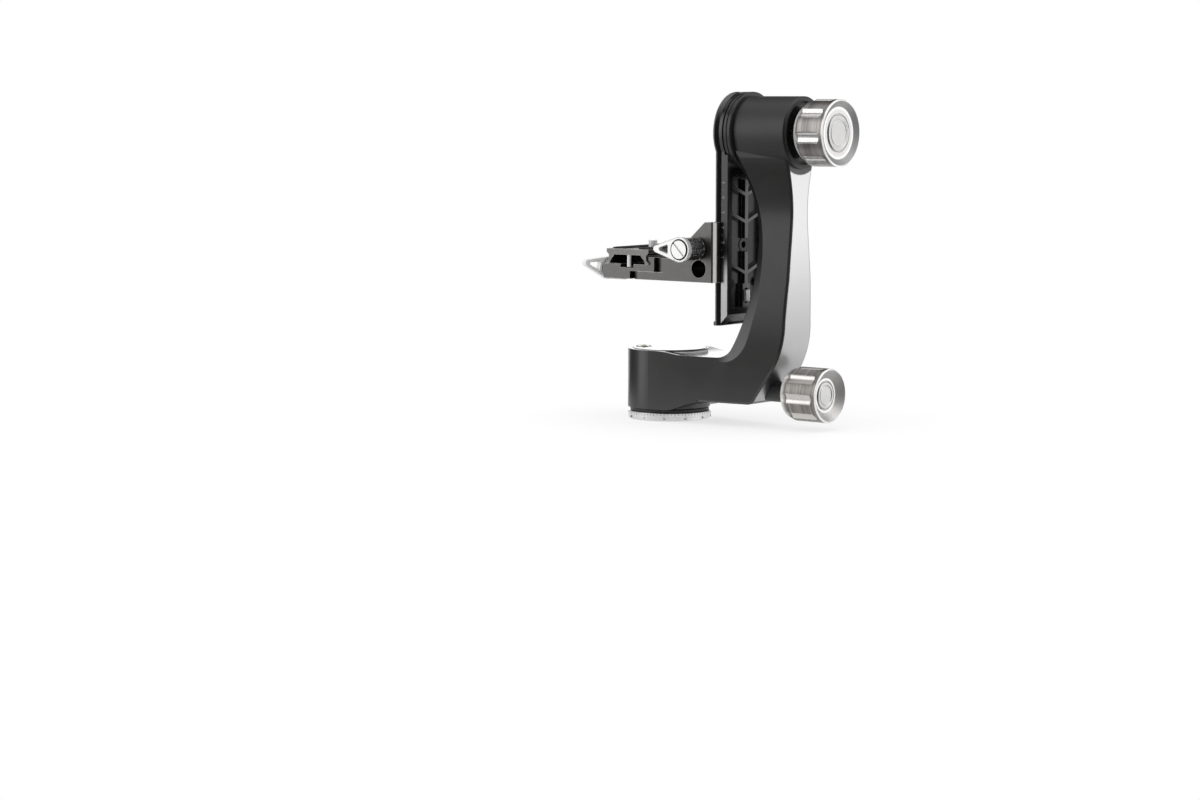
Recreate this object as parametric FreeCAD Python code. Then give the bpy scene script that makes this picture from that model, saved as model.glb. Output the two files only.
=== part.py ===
# Gimbal tripod head: an L-shaped arm that pans on a tripod base and carries a swinging plate,
# on which a bracket with a dovetail clamp slides up and down.
# Millimetres, +Z up. The origin is on the pan axis at the underside of the base.
# +X points from the pan axis to the upright arm, and a lens on the clamp looks along -Y.
import FreeCAD, Part
import math
import os

V = FreeCAD.Vector
ORIGIN = V(0, 0, 0)
EAST, NORTH, UP = V(1, 0, 0), V(0, 1, 0), V(0, 0, 1)

# Clearances between pieces
running_gap = 0.05         # radial, shaft in hole
sliding_gap = 0.25         # flat faces that pass each other
rail_gap = 0.12            # jaws beside the rail
seat_gap = 0.3             # soft or loose piece beside its seat

# Base
base_radius = 30.0
scale_ring_height = 6.0
scale_ring_width = 6.0
base_recess = 2.5          # dark recess between the scale ring and the hub
tripod_thread_radius = 4.7625   # 3/8 inch
tripod_bush_radius = 8.0
tripod_bush_flange = 10.4
tripod_bush_length = 12.0
base_screw_circle = 12.8
edge_break = 0.5           # small chamfer on turned parts

# Hub of the arm and its bearings
hub_radius = 30.4
hub_height = 42.5
boss_radius = 29.6
cap_radius = 27.0
cap_thickness = 3.5
cap_rise = 0.3
lower_seat_radius = 15.0
upper_seat_radius = 10.0
bearing_height = 7.0
race_wall = 1.6
lower_ball_radius = 1.75
upper_ball_radius = 2.0
lower_ball_count = 12
upper_ball_count = 9
level_radius = 5.8
level_offset = 20.5
level_angle = 195.0
level_depth = 2.6

# Arm, seen from the front
tilt_height = 207.5
arm_reach = 114.8          # pan axis to the outer face
limb_top = 48.7
limb_bottom = 16.4
limb_half_width = 16.9
throat_radius = 146.0
upright_depth = 26.9       # from the throat to the outer face
throat_reach = arm_reach - upright_depth
throat_drop = 14.5         # how far the throat's middle lies below the middle of the swing plate
throat_corner = 12.0
throat_bevel_low = 9.2     # width of the throat's bevel near the limb
throat_bevel_high = 3.5    # and beside the barrel
throat_bevel_depth = 2.6
edge_bevel = 1.4
heel_start = arm_reach - 30.8   # where the underside turns up
heel_top = V(arm_reach - 11.3, 0, 40.5)
heel_bend = V(arm_reach - 4.5, 0, 55.0)
heel_end = V(arm_reach - 1.5, 0, 76.0)
upright_start = 106.0
# half-width of the upright at these distances below the tilt axis
waist_drops = [(149.5, 16.9), (123.5, 15.9), (99.5, 13.9), (75.5, 11.4), (54.5, 9.9), (35.5, 12.0),
               (17.5, 17.5)]
waist_points = [(tilt_height - drop, half) for drop, half in waist_drops]
inlay_thickness = 1.2
inlay_margin = 1.2
inlay_start = 18.5
inlay_arc = 29.0
boss_seat_setback = 4.4    # of the lock boss's seat from where the underside turns up

# Barrel round the tilt axis
barrel_radius = 25.3
barrel_length = 44.0
barrel_end = arm_reach + 3.2
barrel_start = barrel_end - barrel_length
collar_radius = 28.4
collar_thickness = 6.0
axle_radius = 8.5
axle_flange_radius = 19.0
axle_flange_thickness = 3.5
roller_radius = 1.25
roller_length = 10.0
roller_count = 14
cup_wall = 2.0
needle_gap = 4.0           # between the two needle bearings
lock_pad_thickness = 2.0
end_plate_thickness = 3.6
cup_depth = 3.0
cup_radius = 22.0
end_plate_hole = 1.5       # radius of the pin-spanner holes
end_plate_hole_offset = 13.0

# Swing plate and rail
swing_gap = 0.7            # from the swing plate's disc to the arm's collar
swing_disc_thickness = 4.7
rail_thickness = 3.0
rail_front = barrel_start - collar_thickness - swing_gap - swing_disc_thickness - rail_thickness
rail_edge = 1.0
rail_undercut = 2.0
swing_half_width = 25.0
swing_disc_radius = 28.4
swing_depth = 8.2
swing_bottom = 71.5
swing_web = 2.6
swing_wall = 4.2
rib_thickness = 2.4
rib_height = 3.2           # above the web
spine_thickness = 3.8      # the upright rib in the middle
rib_drop = 8.0             # from a slanting rib's outer end to its middle
rib_heights = (111.8, 148.0, 167.3)
boss_height = 128.0
boss_outer = 4.9
boss_hole = 2.5
boss_rise = 0.6            # above the web
end_panel_start = 0.8      # shallow panel in the sloping lower end
end_panel_end = 4.8
end_panel_margin = 7.7
end_panel_depth = 0.6
axle_screw_circle = 13.5
rail_screw_offset = 16.0
rail_screw_rise = 29.5     # of the lowest rail screws above the lower end
rail_screw_grip = 2.4      # of the rail screws in the casting
rail_boss_radius = 3.4
rail_boss_rise = 2.3
slot_half_width = 2.3
slot_low, slot_high = 86.5, 97.5
stop_shank_radius = 1.9
stop_head_width = 5.4
stop_head_length = 8.6
stop_head_thickness = 1.6
stop_bar_height = 3.0
stop_bar_thickness = 1.4

# Bracket
bracket_half_width = 32.0
bracket_bottom = 102.0
bracket_top = 118.1
bracket_left = 10.2
tongue_left = -11.8
tongue_top = 107.8
block_corner = 8.0
wall_top = 144.6
wall_thickness = 4.1
jaw_reach = 4.5
gusset_foot = 26.0
gusset_width = 9.5
cross_hole = V(rail_front - 9.6, 0, bracket_bottom + 9.5)
cross_hole_radius = 6.3
jaw_chamfer = 3.0
back_jaw_left = 43.5
back_jaw_thickness = 6.2
guide_pin_depth = 8.0      # of the back jaw's pins in the bracket
rod_head_radius = 5.6
rod_head_seat = 3.0        # depth of the rod head's seat in the back jaw

# Quick-release clamp
clamp_centre = -13.0
clamp_left = -36.1
clamp_floor = 112.7
lip_height = 5.5
lip_thickness = 4.0
lower_step = -12.1
channel_half_width = 6.1
channel_depth = 2.7
qr_jaw_half_length = 20.0
qr_jaw_outer = -39.0
qr_jaw_inner = -30.5
guide_pin_radius = 2.0
guide_pin_spread = 13.0
guide_pin_length = 20.0

# Quick-release plate, a 38 mm dovetail
plate_half_width = 19.0
plate_waist = 17.0
plate_foot = 0.8           # height of the square edge at the bottom
plate_height = 10.6
plate_top_bar = 4.2
plate_length = 100.0
plate_front = -33.5
plate_leg = 2.8
slot_half = 3.4
camera_screw_radius = 3.175
camera_screw_rise = 5.5
camera_screw_neck = 2.5    # plain part in the slot, thinner than the thread
pad_thickness = 0.8

# Lever units
height_lever_size = {"hub": 8.9, "tip": 2.5, "length": 23.2, "window": 3.4}
qr_lever_size = {"hub": 8.3, "tip": 2.3, "length": 27.0, "window": 3.2}
lever_thickness = 3.6
lever_disc_radius = 7.3
lever_disc_rise = 0.6
lever_disc_seat = 1.2
lever_barrel_radius = 8.0
lever_barrel_length = 18.2
lever_rod_radius = 3.0
height_lever_at = V(rail_front - 10.3, 0, bracket_bottom + 24.0)
qr_lever_height = clamp_floor - 5.9
qr_tip_rise = 11.0         # degrees above the horizontal

# Lock knobs
flute_count = 8
flute_depth = 2.1
flute_width = 8.6
tilt_knob = {"standoff": 3.2, "length": 27.55, "radius": 23.3, "neck": 19.6, "dish": 2.7, "dish_ring": 18.1,
             "cap": 12.7, "cap_line": 9.2, "rod": 5.0, "flute_turn": 7.5, "flute_end": 4.2}
pan_knob = {"standoff": -4.8, "length": 31.7, "radius": 19.1, "neck": 17.2, "dish": 4.6, "dish_ring": 12.2,
            "cap": 9.6, "cap_line": 6.9, "rod": 4.0, "flute_turn": 5.6, "flute_end": 4.6}
tilt_knob["base"] = barrel_end + tilt_knob["standoff"]
pan_knob["base"] = arm_reach + pan_knob["standoff"]
for knob in (tilt_knob, pan_knob):
    knob["front"] = knob["base"] + knob["length"]
cap_line_width = 0.7
cap_line_depth = 0.35
pan_lock_height = 24.9
pan_boss_radius = 7.2
pan_boss_spigot = 5.6
shoe_length = 8.0

# Heights and places worked out from the sizes above
throat_height = (swing_bottom + tilt_height) / 2 - throat_drop
hub_bottom = scale_ring_height + base_recess
hub_top = hub_bottom + hub_height
lower_bearing = hub_bottom + 1.5
upper_bearing = hub_top - cap_thickness - cap_rise - bearing_height - 4.6
rail_back = rail_front + rail_thickness
disc_back = rail_back + swing_disc_thickness
swing_back = rail_back + swing_depth
collar_start = barrel_start - collar_thickness
plate_bottom = clamp_floor + sliding_gap
plate_top = plate_bottom + plate_height
jaw_back = rail_front + jaw_reach


def cylinder(radius, start, end):
    along = end - start
    return Part.makeCylinder(radius, along.Length, start, along)


def tube(outer, inner, start, end):
    return cylinder(outer, start, end).cut(cylinder(inner, start, end))


def block(x0, x1, y0, y1, z0, z1):
    return Part.makeBox(x1 - x0, y1 - y0, z1 - z0, V(x0, y0, z0))


def prism(points, along):
    return Part.Face(Part.makePolygon(points + points[:1])).extrude(along)


def turned(profile, origin, direction):
    # profile holds (radius, distance along the axis) pairs
    points = [V(radius, 0, along) for radius, along in profile]
    solid = Part.Face(Part.makePolygon(points + points[:1])).revolve(ORIGIN, UP, 360)
    return place(solid, origin, direction)


def place(solid, origin, direction):
    solid.Placement = FreeCAD.Placement(origin, FreeCAD.Rotation(UP, direction))
    return solid


def washer_profile(outer, inner, low, high, chamfer):
    return [(inner, low), (outer - chamfer, low), (outer, low + chamfer), (outer, high - chamfer),
            (outer - chamfer, high), (inner, high)]


def on_tilt_axis(x, y=0.0, z=0.0):
    return V(x, y, tilt_height + z)


def at_angle(radius, degrees, height):
    angle = math.radians(degrees)
    return V(radius * math.cos(angle), radius * math.sin(angle), height)


def arc(a, b, c):
    return Part.Arc(a, b, c).toShape()


def smooth(points, start, end):
    curve = Part.BSplineCurve()
    curve.interpolate(Points=points, InitialTangent=start, FinalTangent=end)
    return curve


# ---- base ----

def scale_ring():
    inner = base_radius - scale_ring_width
    return turned(washer_profile(base_radius, inner, 0, scale_ring_height, edge_break), ORIGIN, UP)


def base_screw_places():
    return [at_angle(base_screw_circle, 45 + 90 * k, 0) for k in range(4)]


def countersunk(origin, direction, radius, head, length):
    profile = [(0, 0), (head, 0), (head, 0.3), (radius, 0.3 + head - radius), (radius, length), (0, length)]
    return turned(profile, origin, direction)


def base_plate():
    radius = base_radius - scale_ring_width
    plate = cylinder(radius, ORIGIN, UP * scale_ring_height)
    plate = plate.cut(tripod_bush_body())
    for spot in base_screw_places():
        plate = plate.cut(countersunk(spot, UP, 2.0, 4.0, scale_ring_height + 1))
    return plate


def tripod_bush_body():
    flange = 2.0
    profile = [(0, 0), (tripod_bush_radius, 0), (tripod_bush_radius, scale_ring_height),
               (tripod_bush_flange, scale_ring_height), (tripod_bush_flange, scale_ring_height + flange),
               (tripod_bush_radius, scale_ring_height + flange), (tripod_bush_radius, tripod_bush_length),
               (0, tripod_bush_length)]
    return turned(profile, ORIGIN, UP)


def tripod_bush():
    thread = cylinder(tripod_thread_radius, V(0, 0, -1), UP * (tripod_bush_length + 1))
    return tripod_bush_body().cut(thread)


def spindle_top():
    return upper_bearing + bearing_height + 4.2


def pan_spindle():
    flange_top = lower_bearing - 0.6
    neck = lower_seat_radius + 1.2
    profile = [(0, scale_ring_height), (19.0, scale_ring_height), (19.0, flange_top), (neck, flange_top),
               (neck, lower_bearing), (lower_seat_radius, lower_bearing),
               (lower_seat_radius, upper_bearing - 3.0), (upper_seat_radius + 1.4, upper_bearing - 3.0),
               (upper_seat_radius + 1.4, upper_bearing), (upper_seat_radius, upper_bearing),
               (upper_seat_radius, spindle_top()), (0, spindle_top())]
    spindle = turned(profile, ORIGIN, UP)
    spindle = spindle.cut(tripod_bush_body())
    spindle = spindle.cut(cylinder(tripod_thread_radius + 0.6, ORIGIN, UP * (spindle_top() + 1)))
    for spot in base_screw_places():
        spindle = spindle.cut(cylinder(2.0, spot, spot + UP * 12.0))
    return spindle


def base_screws():
    return Part.makeCompound([countersunk(spot, UP, 2.0, 4.0, 12.0) for spot in base_screw_places()])


def pan_seal():
    profile = washer_profile(boss_radius - 1.0, 19.2, scale_ring_height, hub_bottom - seat_gap, 0.3)
    return turned(profile, ORIGIN, UP)


def spindle_nut():
    nut = turned(washer_profile(14.0, upper_seat_radius, upper_bearing + bearing_height,
                                spindle_top(), edge_break), ORIGIN, UP)
    for k in range(4):
        notch = block(12.0, 15.0, -1.5, 1.5, upper_bearing + bearing_height + 1.5, spindle_top() + 1)
        notch.rotate(ORIGIN, UP, 90 * k)
        nut = nut.cut(notch)
    return nut


# ---- ball bearings ----

def bearing_sizes(which):
    if which == "lower":
        return lower_seat_radius, lower_ball_radius, lower_ball_count, lower_bearing
    return upper_seat_radius, upper_ball_radius, upper_ball_count, upper_bearing


def race_gap(ball_radius):
    return 1.6 * ball_radius


def pitch_radius(which):
    seat, ball, count, low = bearing_sizes(which)
    return seat + race_wall + race_gap(ball) / 2


def outer_radius(which):
    seat, ball, count, low = bearing_sizes(which)
    return seat + 2 * race_wall + race_gap(ball)


def ball_groove(which):
    seat, ball, count, low = bearing_sizes(which)
    return Part.makeTorus(pitch_radius(which), ball + running_gap, V(0, 0, low + bearing_height / 2), UP)


def inner_race(which):
    seat, ball, count, low = bearing_sizes(which)
    ring = tube(seat + race_wall, seat, UP * low, UP * (low + bearing_height))
    return ring.cut(ball_groove(which))


def outer_race(which):
    seat, ball, count, low = bearing_sizes(which)
    outer = outer_radius(which)
    ring = tube(outer, outer - race_wall, UP * low, UP * (low + bearing_height))
    return ring.cut(ball_groove(which))


def balls(which):
    seat, ball, count, low = bearing_sizes(which)
    pitch, middle = pitch_radius(which), low + bearing_height / 2
    return [Part.makeSphere(ball, at_angle(pitch, 360.0 * k / count, middle)) for k in range(count)]


# ---- arm ----

def throat_centre():
    return V(throat_reach - throat_radius, 0, throat_height)


def throat_point(z, radius=throat_radius):
    centre = throat_centre()
    return V(centre.x + math.sqrt(radius ** 2 - (z - centre.z) ** 2), 0, z)


def corner_fillet():
    # start, middle and end of the fillet between the limb's top and the throat
    centre = throat_point(limb_top + throat_corner, throat_radius - throat_corner)
    outward = (centre - throat_centre()).normalize()
    middle = (outward - UP).normalize()
    low, mid, high = [centre + away * throat_corner for away in (UP * -1, middle, outward)]
    return low, mid, high, centre


def elevation_edges():
    low, mid, high, centre = corner_fillet()
    left = -hub_radius - 1.0
    dip_start, dip_end = V(10, 0, hub_top), V(34, 0, limb_top)
    rise_start, rise_end = V(16, 0, hub_bottom), V(46, 0, limb_bottom)
    heel_low = V(heel_start, 0, limb_bottom)
    heel_high = V(heel_start + 6.4, 0, limb_bottom + 4.8)
    heel_mid = V(heel_start + 4.0, 0, limb_bottom + 1.6)
    outer_low = V(arm_reach, 0, upright_start)
    outer_high = V(arm_reach, 0, tilt_height)
    inner_high = throat_point(tilt_height)
    return [
        Part.makeLine(V(left, 0, hub_bottom), rise_start),
        smooth([rise_start, V(30, 0, hub_bottom + 3.8), rise_end], EAST, EAST).toShape(),
        Part.makeLine(rise_end, heel_low),
        arc(heel_low, heel_mid, heel_high),
        Part.makeLine(heel_high, heel_top),
        arc(heel_top, heel_bend, heel_end),
        Part.makeLine(heel_end, outer_low),
        Part.makeLine(outer_low, outer_high),
        Part.makeLine(outer_high, inner_high),
        arc(inner_high, throat_point(throat_height), high),
        arc(high, mid, low),
        Part.makeLine(low, dip_end),
        smooth([dip_end, V(22, 0, limb_top + 1.0), dip_start], EAST * -1, EAST * -1).toShape(),
        Part.makeLine(dip_start, V(left, 0, hub_top)),
        Part.makeLine(V(left, 0, hub_top), V(left, 0, hub_bottom)),
    ]


def elevation():
    half_depth = hub_radius + 5.0
    face = Part.Face(Part.Wire(elevation_edges()))
    solid = face.extrude(V(0, 2 * half_depth, 0))
    solid.translate(V(0, -half_depth, 0))
    return solid


def plan_taper():
    # the front and back faces leave the hub at this angle and reach limb_half_width at the outer face
    across = math.hypot(limb_half_width, arm_reach)
    return math.asin(hub_radius / across) - math.atan2(limb_half_width, arm_reach)


def taper_extra(x):
    return (arm_reach - x) * math.tan(plan_taper())


def waist_curve(x, side, extra):
    points = [V(x, side * (half + extra), z) for z, half in waist_points]
    return smooth(points, UP, V(0, side * 0.5, 1))


def waist_at(x, z):
    # half-width of the limb at a place in the elevation
    if z <= waist_points[0][0]:
        return limb_half_width + taper_extra(x)
    curve = waist_curve(0, 1, 0)
    low, high = curve.FirstParameter, curve.LastParameter
    for step in range(30):
        middle = (low + high) / 2
        if curve.value(middle).z < z:
            low = middle
        else:
            high = middle
    return curve.value(low).y + taper_extra(x)


def waist_section(x, extra):
    right, left = waist_curve(x, 1, extra), waist_curve(x, -1, extra)
    low_half, high_half = limb_half_width + extra, waist_points[-1][1] + extra
    low_z, high_z = 5.0, waist_points[-1][0] + 5.0
    corners = [V(x, low_half, low_z), V(x, high_half, high_z), V(x, -high_half, high_z),
               V(x, -low_half, low_z)]
    return Part.Wire([
        Part.makeLine(corners[0], right.StartPoint), right.toShape(),
        Part.makeLine(right.EndPoint, corners[1]), Part.makeLine(corners[1], corners[2]),
        Part.makeLine(corners[2], left.EndPoint), left.toShape(),
        Part.makeLine(left.StartPoint, corners[3]), Part.makeLine(corners[3], corners[0])])


def waisted_body(inset):
    near, far = hub_radius * math.sin(plan_taper()), arm_reach + 5.0
    sections = [waist_section(x, taper_extra(x) - inset) for x in (near, far)]
    return Part.makeLoft(sections, True, True)


def bevel_cutter(stations, side, ruled):
    # stations: a point of the elevation, the normal out of the material, the bevel's width and its depth
    wires = []
    for point, out, width, depth in stations:
        on_face = point - out * width
        on_edge = V(point.x, 0, point.z)
        on_face = V(on_face.x, side * waist_at(on_face.x, on_face.z), on_face.z)
        on_edge.y = side * (waist_at(point.x, point.z) - depth)
        slope = (on_edge - on_face).normalize()
        corner = on_face + out * (width + 4.0) + V(0, side * 4.0, 0)
        triangle = [on_face - slope * 2.0, on_edge + slope * 3.0, corner]
        wires.append(Part.makePolygon(triangle + triangle[:1]))
    return Part.makeLoft(wires, True, ruled)


def throat_stations():
    low, mid, high, centre = corner_fillet()
    stations = [(low, UP, 1.0, 0.4), (mid, (centre - mid).normalize(), 5.0, 1.6),
                (high, (centre - high).normalize(), 8.2, 2.3)]
    start, end = high.z + 14.0, waist_points[-1][0] + 3.0
    for k in range(8):
        point = throat_point(start + (end - start) * k / 7)
        out = (throat_centre() - point).normalize()
        width = throat_bevel_high + (throat_bevel_low - throat_bevel_high) * (1 - k / 7) ** 2
        stations.append((point, out, width, throat_bevel_depth))
    return stations


def arc_stations(a, b, c, count):
    curve = Part.Arc(a, b, c)
    first, last = curve.FirstParameter, curve.LastParameter
    stations = []
    for k in range(count):
        parameter = first + (last - first) * k / (count - 1)
        point, along = curve.value(parameter), curve.tangent(parameter)[0]
        stations.append((point, V(along.z, 0, -along.x), edge_bevel, edge_bevel))
    return stations


def outer_stations():
    turn_high = V(heel_start + 6.4, 0, limb_bottom + 4.8)
    turn_mid = V(heel_start + 4.0, 0, limb_bottom + 1.6)
    stations = [(V(44, 0, limb_bottom), UP * -1, edge_bevel, edge_bevel)]
    stations += arc_stations(V(heel_start, 0, limb_bottom), turn_mid, turn_high, 4)
    stations += arc_stations(heel_top, heel_bend, heel_end, 6)
    for k in range(9):
        z = upright_start + (waist_points[-1][0] + 2.0 - upright_start) * k / 8
        stations.append((V(arm_reach, 0, z), EAST, edge_bevel, edge_bevel))
    return stations


def inlay_space():
    body = elevation()
    shifted = body.copy()
    shifted.translate(V(-inlay_thickness, 0, 0))
    band = body.cut(shifted).common(waisted_body(inlay_margin))
    band = band.common(block(heel_start - 20, arm_reach + 1, -40, 40, inlay_start, tilt_height))
    return band.cut(cylinder(inlay_arc, on_tilt_axis(arm_reach - 5), on_tilt_axis(arm_reach + 5)))


def pan_lock_line(x):
    return V(x, 0, pan_lock_height)


def arm():
    body = elevation()
    limb = body.common(waisted_body(0.0))
    collar_room = cylinder(collar_radius + 1.0, on_tilt_axis(barrel_start - 20), on_tilt_axis(barrel_start))
    limb = limb.cut(collar_room)
    for side in (1, -1):
        limb = limb.cut(bevel_cutter(throat_stations(), side, False))
        limb = limb.cut(bevel_cutter(outer_stations(), side, True))
    hub = cylinder(hub_radius, UP * (hub_bottom - 1), UP * (hub_top + 1)).common(body)
    rim = turned([(0, hub_bottom), (boss_radius - edge_break, hub_bottom),
                  (boss_radius, hub_bottom + edge_break), (boss_radius, hub_bottom + 20),
                  (0, hub_bottom + 20)], ORIGIN, UP)
    crown = turned([(0, hub_top - 10), (cap_radius + 1.2, hub_top - 10),
                    (cap_radius + 1.2, hub_top - 0.2), (cap_radius + 1.0, hub_top), (0, hub_top)],
                   ORIGIN, UP)
    barrel = turned([(0, barrel_start), (barrel_radius, barrel_start), (barrel_radius, barrel_end - 1.0),
                     (barrel_radius - 1.0, barrel_end), (0, barrel_end)], on_tilt_axis(0), EAST)
    solid = limb.multiFuse([hub, rim, crown, barrel])
    for hollow in (hub_hollow(), barrel_hollow(), lock_hollow(), inlay_space()):
        solid = solid.cut(hollow)
    return solid.removeSplitter()


def hub_hollow():
    lower, upper = outer_radius("lower"), outer_radius("upper")
    floor = hub_top - cap_thickness
    return turned([(0, hub_bottom - 1), (lower, hub_bottom - 1), (lower, lower_bearing + bearing_height),
                   (lower - 1.2, lower_bearing + bearing_height), (lower - 1.2, upper_bearing - 1.5),
                   (upper - 1.2, upper_bearing - 1.5), (upper - 1.2, upper_bearing), (upper, upper_bearing),
                   (upper, floor), (cap_radius + 0.15, floor), (cap_radius + 0.15, hub_top + 1),
                   (0, hub_top + 1)], ORIGIN, UP)


def cup_radius_outer():
    return axle_radius + 2 * roller_radius + 2 * running_gap + cup_wall


def barrel_hollow():
    needle = cup_radius_outer()
    low_stop = barrel_start + 1.0
    end_plate = barrel_end - cup_depth - end_plate_thickness
    return turned([(0, barrel_start - 1), (axle_radius + 1.5, barrel_start - 1), (axle_radius + 1.5, low_stop),
                   (needle, low_stop), (needle, end_plate), (cup_radius - 2.0, end_plate),
                   (cup_radius - 2.0, barrel_end - cup_depth), (cup_radius, barrel_end - cup_depth),
                   (cup_radius, barrel_end + 1), (0, barrel_end + 1)], on_tilt_axis(0), EAST)


def lock_hollow():
    bore = cylinder(pan_knob["rod"] + running_gap, pan_lock_line(0), pan_lock_line(arm_reach))
    spigot = cylinder(pan_boss_spigot, pan_lock_line(boss_seat() - 10), pan_lock_line(arm_reach))
    seat = cylinder(pan_boss_radius, pan_lock_line(boss_seat()), pan_lock_line(arm_reach))
    return bore.multiFuse([spigot, seat])


def boss_seat():
    # the sloping heel at the height of the lock axis
    return heel_start + boss_seat_setback


def arm_inlay():
    seat = cylinder(pan_boss_radius, pan_lock_line(boss_seat()), pan_lock_line(arm_reach))
    return inlay_space().cut(seat)


def pan_lock_boss():
    end = pan_knob["base"] - 1.2
    bore, seat = pan_knob["rod"] + running_gap, boss_seat()
    profile = [(bore, seat - 10), (pan_boss_spigot, seat - 10), (pan_boss_spigot, seat),
               (pan_boss_radius, seat), (pan_boss_radius, end - edge_break),
               (pan_boss_radius - edge_break, end), (bore, end)]
    return turned(profile, pan_lock_line(0), EAST)


def hub_cap():
    low = hub_top - cap_thickness
    high = hub_top + cap_rise
    cap = turned([(0, low), (cap_radius, low), (cap_radius, high - 0.6), (cap_radius - 0.6, high), (0, high)],
                 ORIGIN, UP)
    return cap.cut(cylinder(level_radius, level_place(high - level_depth), level_place(high + 1)))


def level_place(height):
    return at_angle(level_offset, level_angle, height)


def level_cup():
    high = hub_top + cap_rise
    inner = level_radius - 1.0
    profile = [(0, -level_depth), (level_radius, -level_depth), (level_radius, 0.1), (level_radius - 0.3, 0.4),
               (inner, 0.4), (inner, 0.8 - level_depth), (0, 0.8 - level_depth)]
    return turned(profile, level_place(high), UP)


def level_vial():
    high = hub_top + cap_rise
    inner = level_radius - 1.0
    return turned([(0, 0.8 - level_depth), (inner, 0.8 - level_depth), (inner, 0.0), (inner - 0.8, 0.35),
                   (0, 0.5)], level_place(high), UP)


def tilt_collar():
    groove = 0.8
    bore = axle_flange_radius + 0.8
    low, high = collar_start, barrel_start
    floor = collar_radius - groove
    profile = [(bore, low), (collar_radius - edge_break, low), (collar_radius, low + edge_break),
               (collar_radius, low + 2.4), (floor, low + 2.6), (floor, low + 3.4), (collar_radius, low + 3.6),
               (collar_radius, high - edge_break), (collar_radius - edge_break, high),
               (axle_radius + 3.0, high), (axle_radius + 3.0, high - 1.0), (bore, high - 1.0)]
    return turned(profile, on_tilt_axis(0), EAST)


# ---- needle bearings on the tilt axle ----

def needle_starts():
    first = barrel_start + 1.0
    return first, first + roller_length + 4.0 + needle_gap


def needle_cups():
    outer = cup_radius_outer()
    inner = outer - cup_wall
    lip = axle_radius + 0.6
    shells = []
    for start in needle_starts():
        end = start + roller_length + 4.0
        profile = [(lip, start), (outer, start), (outer, end), (lip, end), (lip, end - 1.0), (inner, end - 1.0),
                   (inner, start + 1.0), (lip, start + 1.0)]
        shells.append(turned(profile, on_tilt_axis(0), EAST))
    return Part.makeCompound(shells)


def needle_rollers():
    pitch = axle_radius + roller_radius + running_gap
    rollers = []
    for start in needle_starts():
        for k in range(roller_count):
            angle = 2 * math.pi * k / roller_count
            y, z = pitch * math.cos(angle), pitch * math.sin(angle)
            rollers.append(cylinder(roller_radius, on_tilt_axis(start + 2, y, z),
                                    on_tilt_axis(start + 2 + roller_length, y, z)))
    return Part.makeCompound(rollers)


def needle_spacer():
    start = needle_starts()[0] + roller_length + 4.0
    outer = cup_radius_outer()
    return tube(outer, outer - cup_wall, on_tilt_axis(start), on_tilt_axis(start + needle_gap))


def barrel_end_plate():
    low = barrel_end - cup_depth - end_plate_thickness
    high = barrel_end - cup_depth
    outer = cup_radius - 2.0
    bore = tilt_knob["rod"] + running_gap
    plate = turned([(bore, low), (outer, low), (outer, high), (bore, high)], on_tilt_axis(0), EAST)
    for y in (end_plate_hole_offset, -end_plate_hole_offset):
        plate = plate.cut(cylinder(end_plate_hole, on_tilt_axis(high - 2.5, y), on_tilt_axis(high + 1, y)))
    return plate


# ---- swing ----

def axle_end():
    return needle_starts()[1] + roller_length + 4.0 + 0.4


def axle_screw_places():
    spots = []
    for k in range(4):
        angle = math.radians(45 + 90 * k)
        spots.append((axle_screw_circle * math.cos(angle), axle_screw_circle * math.sin(angle)))
    return spots


def tilt_axle():
    flange_end = disc_back + axle_flange_thickness
    neck = axle_radius + 1.0
    profile = [(0, disc_back), (axle_flange_radius, disc_back), (axle_flange_radius, flange_end),
               (neck, flange_end), (neck, barrel_start - 0.5), (axle_radius, barrel_start - 0.5),
               (axle_radius, axle_end() - edge_break), (axle_radius - edge_break, axle_end()), (0, axle_end())]
    axle = turned(profile, on_tilt_axis(0), EAST)
    for y, z in axle_screw_places():
        axle = axle.cut(cylinder(2.0, on_tilt_axis(disc_back - 1, y, z), on_tilt_axis(disc_back + 2.8, y, z)))
    return axle


def axle_screws():
    length = disc_back + 2.6 - rail_front
    return Part.makeCompound([countersunk(on_tilt_axis(rail_front, y, z), EAST, 2.0, 4.0, length)
                              for y, z in axle_screw_places()])


def rib_back():
    return rail_back + swing_web + rib_height


def end_panel():
    # what is cut out of the sloping lower end of the casting
    points = []
    for along, inward in ((end_panel_start, -1.0), (end_panel_start, end_panel_depth),
                          (end_panel_end, end_panel_depth), (end_panel_end, -1.0)):
        points.append(V(rail_back + along - inward, end_panel_margin - swing_half_width,
                        swing_bottom + along + inward))
    return prism(points, V(0, 2 * (swing_half_width - end_panel_margin), 0))


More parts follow.
